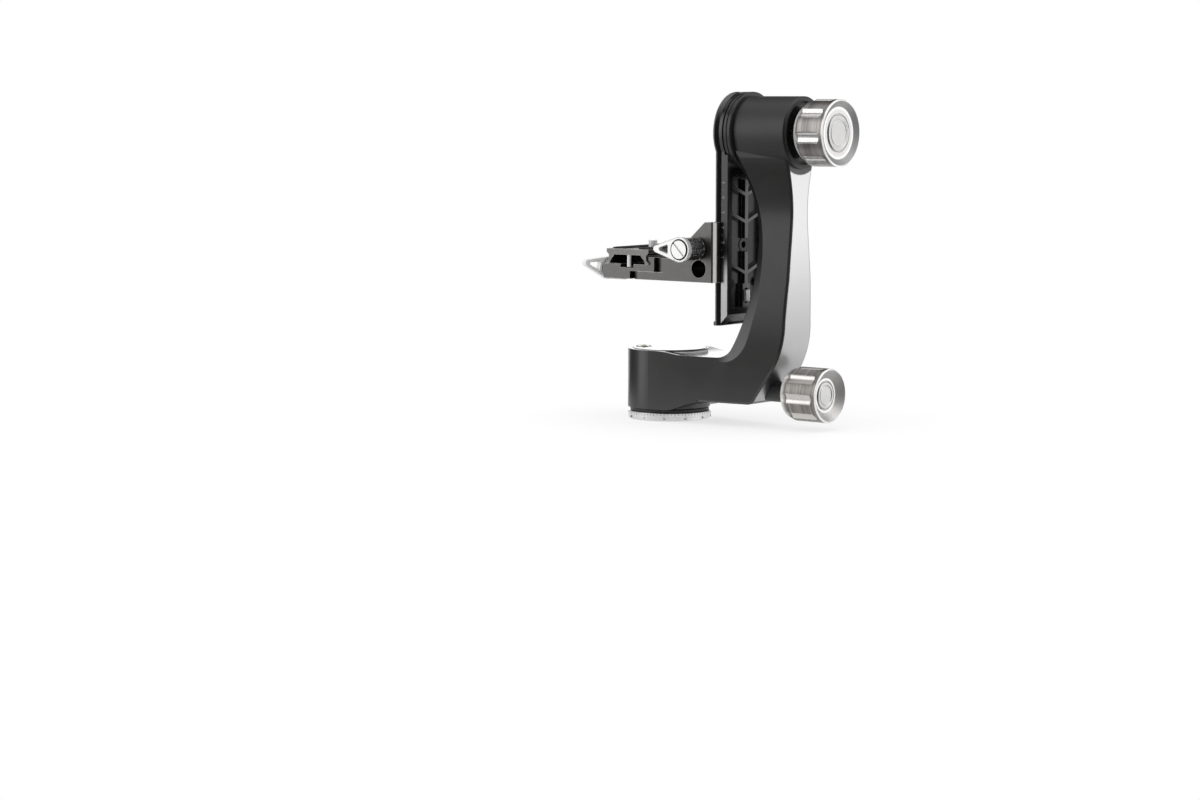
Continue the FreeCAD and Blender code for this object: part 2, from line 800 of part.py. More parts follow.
def swing_casting():
    groove_end = rail_back + rail_undercut
    disc = turned([(0, rail_back), (swing_disc_radius - rail_undercut, rail_back),
                   (swing_disc_radius, groove_end), (swing_disc_radius, disc_back), (0, disc_back)],
                  on_tilt_axis(0), EAST)
    half = swing_half_width
    side = [V(rail_back, -half, swing_bottom), V(swing_back, -half, swing_bottom + swing_depth),
            V(swing_back, -half, tilt_height), V(rail_back, -half, tilt_height)]
    slab = prism(side, V(0, 2 * half, 0))
    low = swing_bottom - 1
    for sign in (1, -1):
        groove = [V(rail_back - 1, sign * (half - rail_undercut - 1), low),
                  V(groove_end + 1, sign * (half + 1), low), V(rail_back - 1, sign * (half + 1), low)]
        slab = slab.cut(prism(groove, UP * (tilt_height - low + 1)))
    clear = collar_radius + 1.0
    slab = slab.cut(cylinder(clear, on_tilt_axis(disc_back), on_tilt_axis(swing_back + 1)))
    solid = slab.fuse(disc).cut(swing_pocket()).cut(end_panel())
    solid = solid.multiFuse(swing_ribs())
    boss_end = rail_back + swing_web + boss_rise
    boss = cylinder(boss_outer, V(rail_back + 1, 0, boss_height), V(boss_end, 0, boss_height))
    room = cylinder(boss_outer, V(boss_end, 0, boss_height), V(swing_back + 1, 0, boss_height))
    hole = cylinder(boss_hole, V(rail_back - 1, 0, boss_height), V(swing_back + 1, 0, boss_height))
    solid = solid.fuse(boss).cut(room).cut(hole).cut(swing_slot(rail_back - 1, swing_back + 1))
    for y, z in axle_screw_places():
        solid = solid.cut(cylinder(2.1, on_tilt_axis(rail_back - 1, y, z), on_tilt_axis(disc_back + 1, y, z)))
    for spot in rail_screw_places():
        solid = solid.cut(cylinder(1.5, spot, spot + EAST * (rail_thickness + rail_screw_grip)))
    edges = [edge for edge in solid.Edges if is_swing_corner(edge)]
    return solid.makeChamfer(0.8, edges).removeSplitter()


def is_swing_corner(edge):
    # the long upright edges of the rim on the arm's side
    box = edge.BoundBox
    upright = box.XLength < 0.01 and box.YLength < 0.01 and box.ZLength > 50
    return upright and abs(box.XMax - swing_back) < 0.01 and abs(abs(box.YMax) - swing_half_width) < 0.01


def pocket_outline(margin):
    half = swing_half_width - swing_wall - margin
    low = swing_bottom + swing_depth + swing_wall
    return block(rail_back + swing_web, swing_back + 1, -half, half, low, tilt_height)


def swing_pocket():
    shoulder = collar_radius + 1.0 + swing_wall
    return pocket_outline(0).cut(cylinder(shoulder, on_tilt_axis(rail_back), on_tilt_axis(swing_back + 2)))


def swing_ribs():
    root = rail_back + 1
    half = swing_half_width - swing_wall + 0.5
    low = swing_bottom + swing_depth + swing_wall - 1
    ribs = [block(root, rib_back(), -spine_thickness / 2, spine_thickness / 2, low,
                  tilt_height - collar_radius - 3)]
    for height in rib_heights:
        inner, outer = height - rib_drop / 2, height + rib_drop / 2
        for side in (1, -1):
            outline = [V(root, 0, inner - rib_thickness / 2), V(root, side * half, outer - rib_thickness / 2),
                       V(root, side * half, outer + rib_thickness / 2), V(root, 0, inner + rib_thickness / 2)]
            ribs.append(prism(outline, EAST * (rib_back() - root)))
    boss_end = rail_back + swing_web + rail_boss_rise
    for side in (1, -1):
        spot = V(root, side * rail_screw_offset, swing_bottom + rail_screw_rise)
        ribs.append(cylinder(rail_boss_radius, spot, V(boss_end, spot.y, spot.z)))
    pad = slot_half_width + 2.0
    ribs.append(block(root, rib_back(), -pad, pad, low, slot_high + 3))
    return ribs


def swing_slot(x0, x1):
    low, high = slot_low + slot_half_width, slot_high - slot_half_width
    slot = block(x0, x1, -slot_half_width, slot_half_width, low, high)
    ends = [cylinder(slot_half_width, V(x0, 0, z), V(x1, 0, z)) for z in (low, high)]
    return slot.multiFuse(ends)


def stop_screw():
    # captive screw of the travel stop, in the slot of the swing casting, with an oblong head
    middle, head = (slot_low + slot_high) / 2, rib_back()
    shank = cylinder(stop_shank_radius, V(rail_back, 0, middle), V(head, 0, middle))
    key = block(head, head + stop_head_thickness, -stop_head_width / 2, stop_head_width / 2,
                middle - stop_head_length / 2, middle + stop_head_length / 2)
    return shank.fuse(key.makeChamfer(0.3, [edge for edge in key.Edges if edge.BoundBox.XMin > head + 1]))


def height_rail():
    wide, narrow = swing_half_width, swing_half_width - rail_undercut
    square = rail_front + rail_edge
    outline = [(rail_front, -wide), (rail_front, wide), (square, wide), (rail_back, narrow),
               (rail_back, -narrow), (square, -wide)]
    bar = prism([V(x, y, swing_bottom) for x, y in outline], UP * (tilt_height - swing_bottom))
    disc_profile = [(0, rail_front), (swing_disc_radius, rail_front), (swing_disc_radius, square),
                    (swing_disc_radius - rail_undercut, rail_back), (0, rail_back)]
    solid = bar.fuse(turned(disc_profile, on_tilt_axis(0), EAST))
    for y, z in axle_screw_places():
        solid = solid.cut(countersunk(on_tilt_axis(rail_front, y, z), EAST, 2.0, 4.0, rail_thickness + 1))
    for spot in rail_screw_places():
        solid = solid.cut(countersunk(spot, EAST, 1.5, 3.0, rail_thickness + 1))
    return solid.removeSplitter()


def rail_screw_places():
    upper = tilt_height - collar_radius - 16.0
    return [V(rail_front, side * rail_screw_offset, z)
            for z in (swing_bottom + rail_screw_rise, boss_height, upper) for side in (1, -1)]


def rail_screws():
    length = rail_thickness + rail_screw_grip
    return Part.makeCompound([countersunk(spot, EAST, 1.5, 3.0, length) for spot in rail_screw_places()])


def rail_stop():
    low = swing_bottom
    front = rail_front - stop_bar_thickness
    bar = block(front, rail_front, -swing_half_width, swing_half_width, low, low + stop_bar_height)
    edges = [edge for edge in bar.Edges
             if edge.BoundBox.YLength > 10 and abs(edge.BoundBox.XMin - front) < 0.01]
    return bar.makeChamfer(0.4, edges)


# ---- bracket on the rail ----

def vertical_round(x, side):
    # what is cut away to round the upright left corners of the bracket's blocks
    corner = block(x - 1, x + block_corner, -bracket_half_width - 1, -bracket_half_width + block_corner,
                   bracket_bottom - 1, bracket_top + 1)
    centre = V(x + block_corner, -bracket_half_width + block_corner, bracket_bottom - 1)
    corner = corner.cut(cylinder(block_corner, centre, centre + UP * (bracket_top - bracket_bottom + 2)))
    if side > 0:
        corner = corner.mirror(ORIGIN, NORTH)
    return corner


def wall_left():
    return wall_right() - wall_thickness


def wall_right():
    return rail_front - sliding_gap


def back_jaw_face():
    return bracket_half_width - back_jaw_thickness


def platform_bracket():
    half = bracket_half_width
    upper = block(bracket_left, wall_right(), -half, half, bracket_bottom, bracket_top)
    tongue = block(tongue_left, bracket_left + 1, -half, half, bracket_bottom, tongue_top)
    tongue = tongue.cut(vertical_round(tongue_left, -1)).cut(vertical_round(tongue_left, 1))
    corner_cut = [vertical_round(bracket_left, side) for side in (1, -1)]
    keep_tongue = block(tongue_left - 1, bracket_left + block_corner, -half - 2, half + 2,
                        bracket_bottom - 2, tongue_top)
    for piece in corner_cut:
        upper = upper.cut(piece.cut(keep_tongue))
    wall = block(wall_left(), wall_right(), -half, half, bracket_bottom, wall_top)
    side = [V(gusset_foot, -half, bracket_top - 1), V(gusset_foot, -half, bracket_top),
            V(wall_left(), -half, wall_top), V(wall_right(), -half, wall_top),
            V(wall_right(), -half, bracket_top - 1)]
    front_gusset = prism(side, V(0, gusset_width, 0))
    back_gusset = prism(side, V(0, gusset_width + 1, 0))
    back_gusset.translate(V(0, half + back_jaw_face() - gusset_width - 1, 0))
    jaw = fixed_jaw()
    solid = upper.multiFuse([tongue, wall, front_gusset, back_gusset, jaw])
    solid = solid.cut(block(back_jaw_left, jaw_back + 1, back_jaw_face(), half + 1,
                            bracket_bottom - 1, wall_top + 1))
    hole = cylinder(cross_hole_radius, cross_hole - NORTH * (half + 1), cross_hole + NORTH * (half + 1))
    rod = cylinder(lever_rod_radius + running_gap, height_lever_at - NORTH * (half + 1),
                   height_lever_at + NORTH * (half + 1))
    solid = solid.cut(hole).cut(rod)
    for spot in height_pin_places():
        solid = solid.cut(cylinder(1.5, V(spot.x, back_jaw_face() - guide_pin_depth, spot.z),
                                   V(spot.x, half + 1, spot.z)))
    for spot in body_screw_places():
        solid = solid.cut(countersunk(spot, UP, 2.0, 4.0, 12.0))
    return solid.removeSplitter()


def jaw_section(inner, outer, side):
    # plan outline of a jaw whose ridge sits in the V groove between the rail and the casting
    edge = swing_half_width + rail_gap
    ridge = edge - rail_undercut
    points = [(inner, edge), (rail_front + rail_edge, edge), (rail_back, ridge),
              (jaw_back, ridge + jaw_back - rail_back), (jaw_back, outer - jaw_chamfer),
              (jaw_back - jaw_chamfer, outer), (inner, outer)]
    return [V(x, side * y, bracket_bottom) for x, y in points]


def fixed_jaw():
    return prism(jaw_section(wall_right() - 1, bracket_half_width, -1), UP * (wall_top - bracket_bottom))


def height_jaw():
    face = back_jaw_face() + sliding_gap
    half = bracket_half_width
    edge = swing_half_width + sliding_gap
    slab = block(back_jaw_left + sliding_gap, wall_right(), face, half, bracket_bottom + 0.5, wall_top - 0.5)
    hook = prism(jaw_section(wall_right() - 1, half, 1), UP * (wall_top - bracket_bottom))
    hook = hook.common(block(wall_right() - 1, jaw_back + 1, edge - 5, half,
                             bracket_bottom + 0.5, wall_top - 0.5))
    hook = hook.cut(block(wall_right() - 2, rail_front, 0, face, bracket_bottom, wall_top))
    solid = slab.fuse(hook)
    head = height_lever_at + NORTH * (half - rod_head_seat)
    solid = solid.cut(cylinder(rod_head_radius, head, head + NORTH * (rod_head_seat + 1)))
    solid = solid.cut(cylinder(lever_rod_radius, height_lever_at, height_lever_at + NORTH * (half + 1)))
    hole = V(cross_hole.x, 0, cross_hole.z)
    solid = solid.cut(cylinder(cross_hole_radius, hole, hole + NORTH * (half + 1)))
    for spot in height_pin_places():
        solid = solid.cut(cylinder(1.5 + running_gap, V(spot.x, 0, spot.z), V(spot.x, half + 1, spot.z)))
    return solid.removeSplitter()


def height_pin_places():
    return [V(rail_front - 7.2, 0, bracket_bottom + 35.5), V(wall_right() - 3.0, 0, bracket_bottom + 4.5)]


def height_guide_pins():
    low, high = back_jaw_face() - guide_pin_depth, bracket_half_width - 0.4
    return Part.makeCompound([cylinder(1.5, V(spot.x, low, spot.z), V(spot.x, high, spot.z))
                              for spot in height_pin_places()])


def height_rod():
    outer = bracket_half_width + lever_barrel_length + lever_thickness - lever_disc_seat - sliding_gap
    face = height_lever_at + NORTH * bracket_half_width
    seat = face - NORTH * rod_head_seat
    rod = cylinder(lever_rod_radius, height_lever_at - NORTH * outer, seat)
    head = cylinder(rod_head_radius, seat, face - NORTH * 0.2)
    drive = cylinder(2.4, face - NORTH * 1.8, face)
    return rod.fuse(head).cut(drive)


# ---- lever units: built pointing along +Z with the tip along +X ----

def lever_outline(hub, tip, reach):
    lean = math.asin((hub - tip) / reach)
    up_hub = V(hub * math.sin(lean), hub * math.cos(lean), 0)
    up_tip = V(reach + tip * math.sin(lean), tip * math.cos(lean), 0)
    down_hub, down_tip = V(up_hub.x, -up_hub.y, 0), V(up_tip.x, -up_tip.y, 0)
    return Part.Wire([arc(down_hub, V(-hub, 0, 0), up_hub), Part.makeLine(up_hub, up_tip),
                      arc(up_tip, V(reach + tip, 0, 0), down_tip), Part.makeLine(down_tip, down_hub)])


def lever_window(size):
    # rounded triangular hole between the hub and the tip
    near, far = size["hub"] + 1.2, size["length"] - size["tip"] - 3.0
    wide, narrow = size["window"], 0.9
    outline = [V(near, -wide, -1), V(near, wide, -1), V(far, narrow, -1), V(far, -narrow, -1)]
    hole = prism(outline, UP * (lever_thickness + 2))
    edges = [edge for edge in hole.Edges if edge.BoundBox.ZLength > lever_thickness]
    return hole.makeFillet(0.8, edges)


def lever_blade(size):
    outline = lever_outline(size["hub"], size["tip"], size["length"] - size["tip"])
    blade = Part.Face(outline).extrude(UP * lever_thickness)
    rims = [edge for edge in blade.Edges if edge.BoundBox.ZLength < 0.01]
    blade = blade.makeChamfer(0.4, rims)
    blade = blade.cut(lever_window(size))
    seat = lever_thickness - lever_disc_seat
    recess = cylinder(lever_disc_radius + 0.1, UP * seat, UP * (lever_thickness + 1))
    return blade.cut(recess).cut(cylinder(lever_rod_radius + running_gap, UP * -1, UP * (lever_thickness + 1)))


def lever_disc():
    low, high = lever_thickness - lever_disc_seat, lever_thickness + lever_disc_rise
    disc = turned([(0, low), (lever_disc_radius, low), (lever_disc_radius, high - 0.3),
                   (lever_disc_radius - 0.3, high), (0, high)], ORIGIN, UP)
    slot = block(-lever_disc_radius - 1, lever_disc_radius + 1, -0.6, 0.6, high - 0.8, high + 1)
    slot.rotate(ORIGIN, UP, -45)
    return disc.cut(slot)


def lever_barrel():
    low = -lever_barrel_length
    radius = lever_barrel_radius
    profile = [(lever_rod_radius + running_gap, low), (radius - 1.4, low), (radius - 1.4, low + 1.6),
               (radius - 0.4, low + 1.6), (radius, low + 2.0), (radius, -0.4), (radius - 0.4, 0),
               (lever_rod_radius + running_gap, 0)]
    barrel = turned(profile, ORIGIN, UP)
    flats = []
    for k in range(12):
        angle = math.radians(30 * k)
        place_at = V((radius + 0.75) * math.cos(angle), (radius + 0.75) * math.sin(angle), low + 3.0)
        flats.append(cylinder(1.2, place_at, V(place_at.x, place_at.y, -1.2)))
    return barrel.cut(Part.makeCompound(flats))


def seat_unit(piece, origin, outward, tip):
    # turns a lever piece so that local +Z is outward and local +X is the tip's direction
    rotation = FreeCAD.Rotation(tip, outward.cross(tip), outward, "ZXY")
    piece.Placement = FreeCAD.Placement(origin, rotation)
    return piece


def height_unit(piece):
    origin = height_lever_at - NORTH * (bracket_half_width + lever_barrel_length)
    return seat_unit(piece, origin, NORTH * -1, EAST * -1)


def qr_unit(piece):
    origin = V(qr_jaw_outer - lever_barrel_length, 0, qr_lever_height)
    rise = math.radians(qr_tip_rise)
    return seat_unit(piece, origin, EAST * -1, V(0, -math.cos(rise), math.sin(rise)))


# ---- quick-release clamp ----

def dovetail_points(side, gap):
    # profile of the plate's edge: (distance from the clamp's centre, height)
    half, waist = plate_half_width + gap, plate_waist + gap
    low = plate_bottom - gap
    foot = plate_bottom + plate_foot + gap * 0.4
    shoulder = foot + (half - waist)
    wide, narrow = clamp_centre + side * half, clamp_centre + side * waist
    return [V(wide, 0, low), V(wide, 0, foot), V(narrow, 0, shoulder),
            V(narrow, 0, clamp_floor + lip_height + 5)]


def lip_outline(side, outer):
    edge = dovetail_points(side, running_gap * 2)
    top = clamp_floor + lip_height
    return [V(edge[0].x, 0, clamp_floor - 1), V(edge[1].x, 0, edge[1].z), V(edge[2].x, 0, edge[2].z),
            V(edge[2].x, 0, top), V(outer, 0, top), V(outer, 0, clamp_floor - 1)]


def clamp_right():
    return clamp_centre + plate_half_width + running_gap * 2 + lip_thickness - 0.1


def qr_body():
    half = bracket_half_width
    left = block(clamp_left, lower_step, -half, half, bracket_bottom, clamp_floor)
    tongue = block(lower_step - 1, clamp_right(), -half, half, tongue_top, clamp_floor)
    lip = prism(lip_outline(1, clamp_right()), V(0, 2 * half, 0))
    lip.translate(V(0, -half, 0))
    solid = left.multiFuse([tongue, lip])
    channel_x = clamp_centre - 1.5
    for y0, y1 in ((-half - 1, -5), (5, half + 1)):
        solid = solid.cut(block(channel_x - channel_half_width, channel_x + channel_half_width, y0, y1,
                                clamp_floor - channel_depth, clamp_floor + 1))
    room = qr_jaw_half_length + sliding_gap
    solid = solid.cut(block(clamp_left - 1, qr_jaw_inner + sliding_gap, -room, room,
                            bracket_bottom - 1, clamp_floor + 1))
    solid = solid.cut(cylinder(lever_rod_radius + running_gap, V(clamp_left, 0, qr_lever_height),
                               V(-13.5, 0, qr_lever_height)))
    for spot in guide_pin_places():
        solid = solid.cut(cylinder(guide_pin_radius, spot, spot + EAST * guide_pin_length))
    for spot in body_screw_places():
        solid = solid.cut(cylinder(2.0, V(spot.x, spot.y, tongue_top - 1), V(spot.x, spot.y, spot.z + 9.0)))
    return solid.removeSplitter()


def body_screw_places():
    return [V(x, y, bracket_bottom) for x in (-3.5, 5.0) for y in (-20.0, 20.0)]


def body_screws():
    return Part.makeCompound([countersunk(spot, UP, 2.0, 4.0, 9.0) for spot in body_screw_places()])


def guide_pin_places():
    return [V(qr_jaw_outer + 1.0, side * guide_pin_spread, qr_lever_height) for side in (1, -1)]


def qr_guide_pins():
    return Part.makeCompound([cylinder(guide_pin_radius, spot, spot + EAST * guide_pin_length)
                              for spot in guide_pin_places()])


def qr_jaw():
    half = qr_jaw_half_length
    low = bracket_bottom + 0.6
    edge = dovetail_points(-1, running_gap * 2)
    top = clamp_floor + lip_height
    points = [V(qr_jaw_outer, -half, low), V(qr_jaw_inner, -half, low), V(qr_jaw_inner, -half, clamp_floor),
              V(edge[0].x, -half, clamp_floor), V(edge[1].x, -half, edge[1].z), V(edge[2].x, -half, edge[2].z),
              V(edge[2].x, -half, top), V(qr_jaw_outer + 1.5, -half, top), V(qr_jaw_outer, -half, top - 1.5)]
    solid = prism(points, V(0, 2 * half, 0))
    solid = solid.cut(cylinder(lever_rod_radius + running_gap, V(qr_jaw_outer - 1, 0, qr_lever_height),
                               V(qr_jaw_inner + 1, 0, qr_lever_height)))
    radius = guide_pin_radius + running_gap
    for spot in guide_pin_places():
        solid = solid.cut(cylinder(radius, spot - EAST * 2, spot + EAST * guide_pin_length))
    return solid


def qr_rod():
    outer = qr_jaw_outer - lever_barrel_length - lever_thickness + lever_disc_seat + sliding_gap
    return cylinder(lever_rod_radius, V(outer, 0, qr_lever_height), V(-14.5, 0, qr_lever_height))


# ---- quick-release plate ----

def plate_section():
    right, left = dovetail_points(1, 0.0), dovetail_points(-1, 0.0)
    bar = plate_top - plate_top_bar
    leg = plate_leg
    inner_low, inner_high = plate_half_width - leg, plate_waist - leg - 2.5
    east, west = clamp_centre + plate_half_width, clamp_centre - plate_half_width
    knee = plate_bottom + 2.4
    points = [right[0], right[1], right[2], V(right[2].x, 0, bar), V(east, 0, bar + 1.6), V(east, 0, plate_top),
              V(west, 0, plate_top), V(west, 0, bar + 1.6), V(left[2].x, 0, bar), left[2], left[1], left[0],
              V(clamp_centre - inner_low, 0, plate_bottom), V(clamp_centre - inner_low + 0.8, 0, knee),
              V(clamp_centre - inner_high, 0, bar), V(clamp_centre + inner_high, 0, bar),
              V(clamp_centre + inner_low - 0.8, 0, knee), V(clamp_centre + inner_low, 0, plate_bottom)]
    for point in points:
        point.y = plate_front
    return points


def plate_slots():
    return [(plate_front + 16.0, plate_front + 44.0), (plate_front + 56.0, plate_front + 84.0)]


def quick_plate():
    solid = prism(plate_section(), V(0, plate_length, 0))
    bar = plate_top - plate_top_bar
    for start, end in plate_slots():
        slot = block(clamp_centre - slot_half, clamp_centre + slot_half, start, end, bar - 1, plate_top + 1)
        rounds = [cylinder(slot_half, V(clamp_centre, y, bar - 1), V(clamp_centre, y, plate_top + 1))
                  for y in (start, end)]
        solid = solid.cut(slot.multiFuse(rounds))
    for y in pin_places():
        solid = solid.cut(cylinder(1.45, V(clamp_centre, y, bar - 1), V(clamp_centre, y, plate_top - 1)))
    return solid


def pin_places():
    return plate_front + 2.2, plate_front + plate_length - 2.2


def plate_pins():
    low = clamp_floor - channel_depth + 0.7
    return Part.makeCompound([cylinder(1.45, V(clamp_centre, y, low), V(clamp_centre, y, plate_top - 1))
                              for y in pin_places()])


def camera_screws():
    bar = plate_top - plate_top_bar
    thread_start = plate_top + pad_thickness + 0.2
    screws = []
    for slot_start, slot_end in plate_slots():
        end = plate_top + camera_screw_rise
        profile = [(0, bar - 3.4), (5.4, bar - 3.4), (5.8, bar - 3.0), (5.8, bar - 0.1),
                   (camera_screw_neck, bar - 0.1), (camera_screw_neck, thread_start),
                   (camera_screw_radius, thread_start), (camera_screw_radius, end - 0.6),
                   (camera_screw_radius - 0.6, end), (0, end)]
        middle = V(clamp_centre, (slot_start + slot_end) / 2, 0)
        screw = turned(profile, middle, UP)
        drive = block(-7, 7, -0.7, 0.7, bar - 4, bar - 2.2)
        drive.translate(middle)
        screws.append(screw.cut(drive))
    return Part.makeCompound(screws)


def grip_pads():
    pads = []
    for side in (1, -1):
        inner, outer = clamp_centre + side * 6.5, clamp_centre + side * 17.0
        pads.append(block(min(inner, outer), max(inner, outer), plate_front + 5, plate_front + plate_length - 5,
                          plate_top, plate_top + pad_thickness))
    return Part.makeCompound(pads)


# ---- lock knobs ----

def knob_profile(size):
    base, front, radius = size["base"], size["front"], size["radius"]
    floor = front - size["dish"]
    ring = size["dish_ring"]
    bore = size["rod"] + running_gap
    neck, cap = size["neck"], size["cap"]
    return [(bore, base), (neck - 1.0, base), (neck, base + 1.0), (neck + 0.6, base + 2.6),
            (radius, base + 6.0), (radius, front - 0.8), (radius - 0.8, front), (ring, floor),
            (cap + 0.9, floor), (cap + 0.9, floor - 1.0), (cap, floor - 1.0), (cap, floor - 1.6),
            (bore, floor - 1.6)]


def knob_body(size, axis_place):
    knob = turned(knob_profile(size), axis_place, EAST)
    cutter_radius = (flute_width ** 2 / 4 + flute_depth ** 2) / (2 * flute_depth)
    centre_radius = size["radius"] - flute_depth + cutter_radius
    start, end = size["base"] - 1.0, size["front"] - size["flute_end"]
    ramp = 2.4
    inner = cutter_radius - flute_depth
    outline = [(0, start), (cutter_radius, start), (cutter_radius, end - ramp * 0.4),
               (inner * 0.6, end + ramp), (0, end + ramp)]
    for k in range(flute_count):
        angle = math.radians(360.0 * k / flute_count + 270 + size["flute_turn"])
        offset = V(0, centre_radius * math.cos(angle), centre_radius * math.sin(angle))
        knob = knob.cut(turned(outline, axis_place + offset, EAST))
    return knob


def knob_cap(size, axis_place):
    floor = size["front"] - size["dish"]
    radius, line, face = size["cap"], size["cap_line"], floor + 0.4
    profile = [(0, floor - 1.6), (radius, floor - 1.6), (radius, floor + 0.1), (radius - 0.5, floor + 0.6),
               (radius - 2.0, floor + 0.6), (radius - 2.2, face), (line + cap_line_width / 2, face),
               (line, face - cap_line_depth), (line - cap_line_width / 2, face), (0, face)]
    return turned(profile, axis_place, EAST)


def tilt_lock_screw():
    start = axle_end() + running_gap + lock_pad_thickness
    end = tilt_knob["front"] - tilt_knob["dish"] - 1.6
    return cylinder(tilt_knob["rod"], on_tilt_axis(start), on_tilt_axis(end - 0.4))


def tilt_lock_pad():
    start = axle_end() + running_gap
    radius = cup_radius_outer() - 0.6
    end = start + lock_pad_thickness
    return turned([(0, start), (radius, start), (radius, end - 0.8), (radius - 3, end), (0, end)],
                  on_tilt_axis(0), EAST)


def pan_lock_rod():
    start = lower_seat_radius + running_gap + shoe_length
    end = pan_knob["front"] - pan_knob["dish"] - 1.6
    return cylinder(pan_knob["rod"], pan_lock_line(start), pan_lock_line(end - 0.4))


def pan_lock_shoe():
    start, end = lower_seat_radius - 2.0, lower_seat_radius + running_gap + shoe_length
    shoe = cylinder(pan_knob["rod"], pan_lock_line(start), pan_lock_line(end))
    return shoe.cut(cylinder(lower_seat_radius + running_gap, ORIGIN, UP * hub_top))


nodes = {
    "scale_ring": scale_ring(),
    "base_plate": base_plate(),
    "tripod_bush": tripod_bush(),
    "pan_spindle": pan_spindle(),
    "base_screws": base_screws(),
    "pan_seal": pan_seal(),
    "spindle_nut": spindle_nut(),
    "lower_inner_race": inner_race("lower"),
    "lower_outer_race": outer_race("lower"),
    "lower_balls": Part.makeCompound(balls("lower")),
    "upper_inner_race": inner_race("upper"),
    "upper_outer_race": outer_race("upper"),
    "upper_balls": Part.makeCompound(balls("upper")),
    "arm": arm(),
    "arm_inlay": arm_inlay(),
    "hub_cap": hub_cap(),
    "level_cup": level_cup(),
    "level_vial": level_vial(),
    "pan_lock_boss": pan_lock_boss(),
    "tilt_collar": tilt_collar(),
    "needle_cups": needle_cups(),
    "needle_spacer": needle_spacer(),
    "needle_rollers": needle_rollers(),
    "barrel_end_plate": barrel_end_plate(),
    "swing_casting": swing_casting(),
    "height_rail": height_rail(),
    "rail_screws": rail_screws(),
    "rail_stop": rail_stop(),
    "stop_screw": stop_screw(),
    "tilt_axle": tilt_axle(),
    "axle_screws": axle_screws(),
    "platform_bracket": platform_bracket(),
    "height_guide_pins": height_guide_pins(),
    "height_jaw": height_jaw(),
    "height_rod": height_rod(),
    "height_lever": height_unit(lever_blade(height_lever_size)),
    "height_lever_disc": height_unit(lever_disc()),
    "height_lever_barrel": height_unit(lever_barrel()),
    "qr_body": qr_body(),
    "qr_body_screws": body_screws(),
    "qr_guide_pins": qr_guide_pins(),
    "qr_jaw": qr_jaw(),
    "qr_rod": qr_rod(),
    "qr_lever": qr_unit(lever_blade(qr_lever_size)),
    "qr_lever_disc": qr_unit(lever_disc()),
    "qr_lever_barrel": qr_unit(lever_barrel()),
    "quick_plate": quick_plate(),
    "plate_pins": plate_pins(),
    "camera_screws": camera_screws(),
    "grip_pads": grip_pads(),
    "tilt_knob": knob_body(tilt_knob, on_tilt_axis(0)),
    "tilt_knob_cap": knob_cap(tilt_knob, on_tilt_axis(0)),
    "tilt_lock_screw": tilt_lock_screw(),
    "tilt_lock_pad": tilt_lock_pad(),
    "pan_knob": knob_body(pan_knob, pan_lock_line(0)),
    "pan_knob_cap": knob_cap(pan_knob, pan_lock_line(0)),
    "pan_lock_rod": pan_lock_rod(),
    "pan_lock_shoe": pan_lock_shoe(),
}

os.makedirs("parts", exist_ok=True)
for name, shape in nodes.items():
    shape.exportStep("parts/" + name + ".step")
    print(name, len(shape.Solids), shape.isValid(), round(shape.Volume, 1))
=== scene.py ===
import math
import bpy
from mathutils import Matrix, Vector


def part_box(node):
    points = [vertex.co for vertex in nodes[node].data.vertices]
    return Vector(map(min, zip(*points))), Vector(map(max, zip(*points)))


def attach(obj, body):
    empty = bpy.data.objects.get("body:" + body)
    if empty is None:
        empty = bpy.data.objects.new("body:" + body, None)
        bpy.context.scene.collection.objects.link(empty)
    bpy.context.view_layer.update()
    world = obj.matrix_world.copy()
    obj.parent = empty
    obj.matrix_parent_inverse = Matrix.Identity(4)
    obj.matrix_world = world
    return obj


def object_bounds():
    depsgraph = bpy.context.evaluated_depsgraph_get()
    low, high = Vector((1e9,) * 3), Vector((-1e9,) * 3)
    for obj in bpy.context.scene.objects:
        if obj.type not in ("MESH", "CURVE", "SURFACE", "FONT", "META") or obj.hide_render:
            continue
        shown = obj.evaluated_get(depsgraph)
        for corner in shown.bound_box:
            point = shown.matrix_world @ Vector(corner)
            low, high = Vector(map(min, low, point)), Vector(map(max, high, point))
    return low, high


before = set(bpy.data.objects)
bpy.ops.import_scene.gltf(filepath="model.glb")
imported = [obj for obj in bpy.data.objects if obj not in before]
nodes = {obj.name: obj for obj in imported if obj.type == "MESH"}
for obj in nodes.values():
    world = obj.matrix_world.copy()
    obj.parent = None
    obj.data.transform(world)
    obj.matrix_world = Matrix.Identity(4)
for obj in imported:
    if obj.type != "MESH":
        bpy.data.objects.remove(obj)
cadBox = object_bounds()
mm = 0.001

for obj in nodes.values():
    obj.select_set(False)
print("frame loaded", len(nodes), "nodes")


# places on the frame that the finishes and the small pieces are set out from
def middleOf(node):
    low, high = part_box(node)
    return (low + high) / 2


tiltAxis = middleOf("tilt_knob")
panLockAxis = middleOf("pan_knob")
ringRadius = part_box("scale_ring")[1].x
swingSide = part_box("rail_stop")[1].y


# shader node helpers

def addNode(tree, kind, **values):
    node = tree.nodes.new(kind)
    for key, value in values.items():
        if hasattr(node, key):
            setattr(node, key, value)
        else:
            node.inputs[key].default_value = value
    return node


def mathNode(tree, operation, first, second=None, clamp=False):
    node = tree.nodes.new("ShaderNodeMath")
    node.operation = operation
    node.use_clamp = clamp
    for socket, value in zip(node.inputs, (first, second)):
        if value is None:
            continue
        if isinstance(value, (int, float)):
            socket.default_value = value
        else:
            tree.links.new(value, socket)
    return node.outputs[0]


def times(tree, first, second):
    return mathNode(tree, "MULTIPLY", first, second)


def plus(tree, first, second):
    return mathNode(tree, "ADD", first, second)


def lengthOf(tree, first, second):
    return mathNode(tree, "SQRT", plus(tree, times(tree, first, first), times(tree, second, second)))


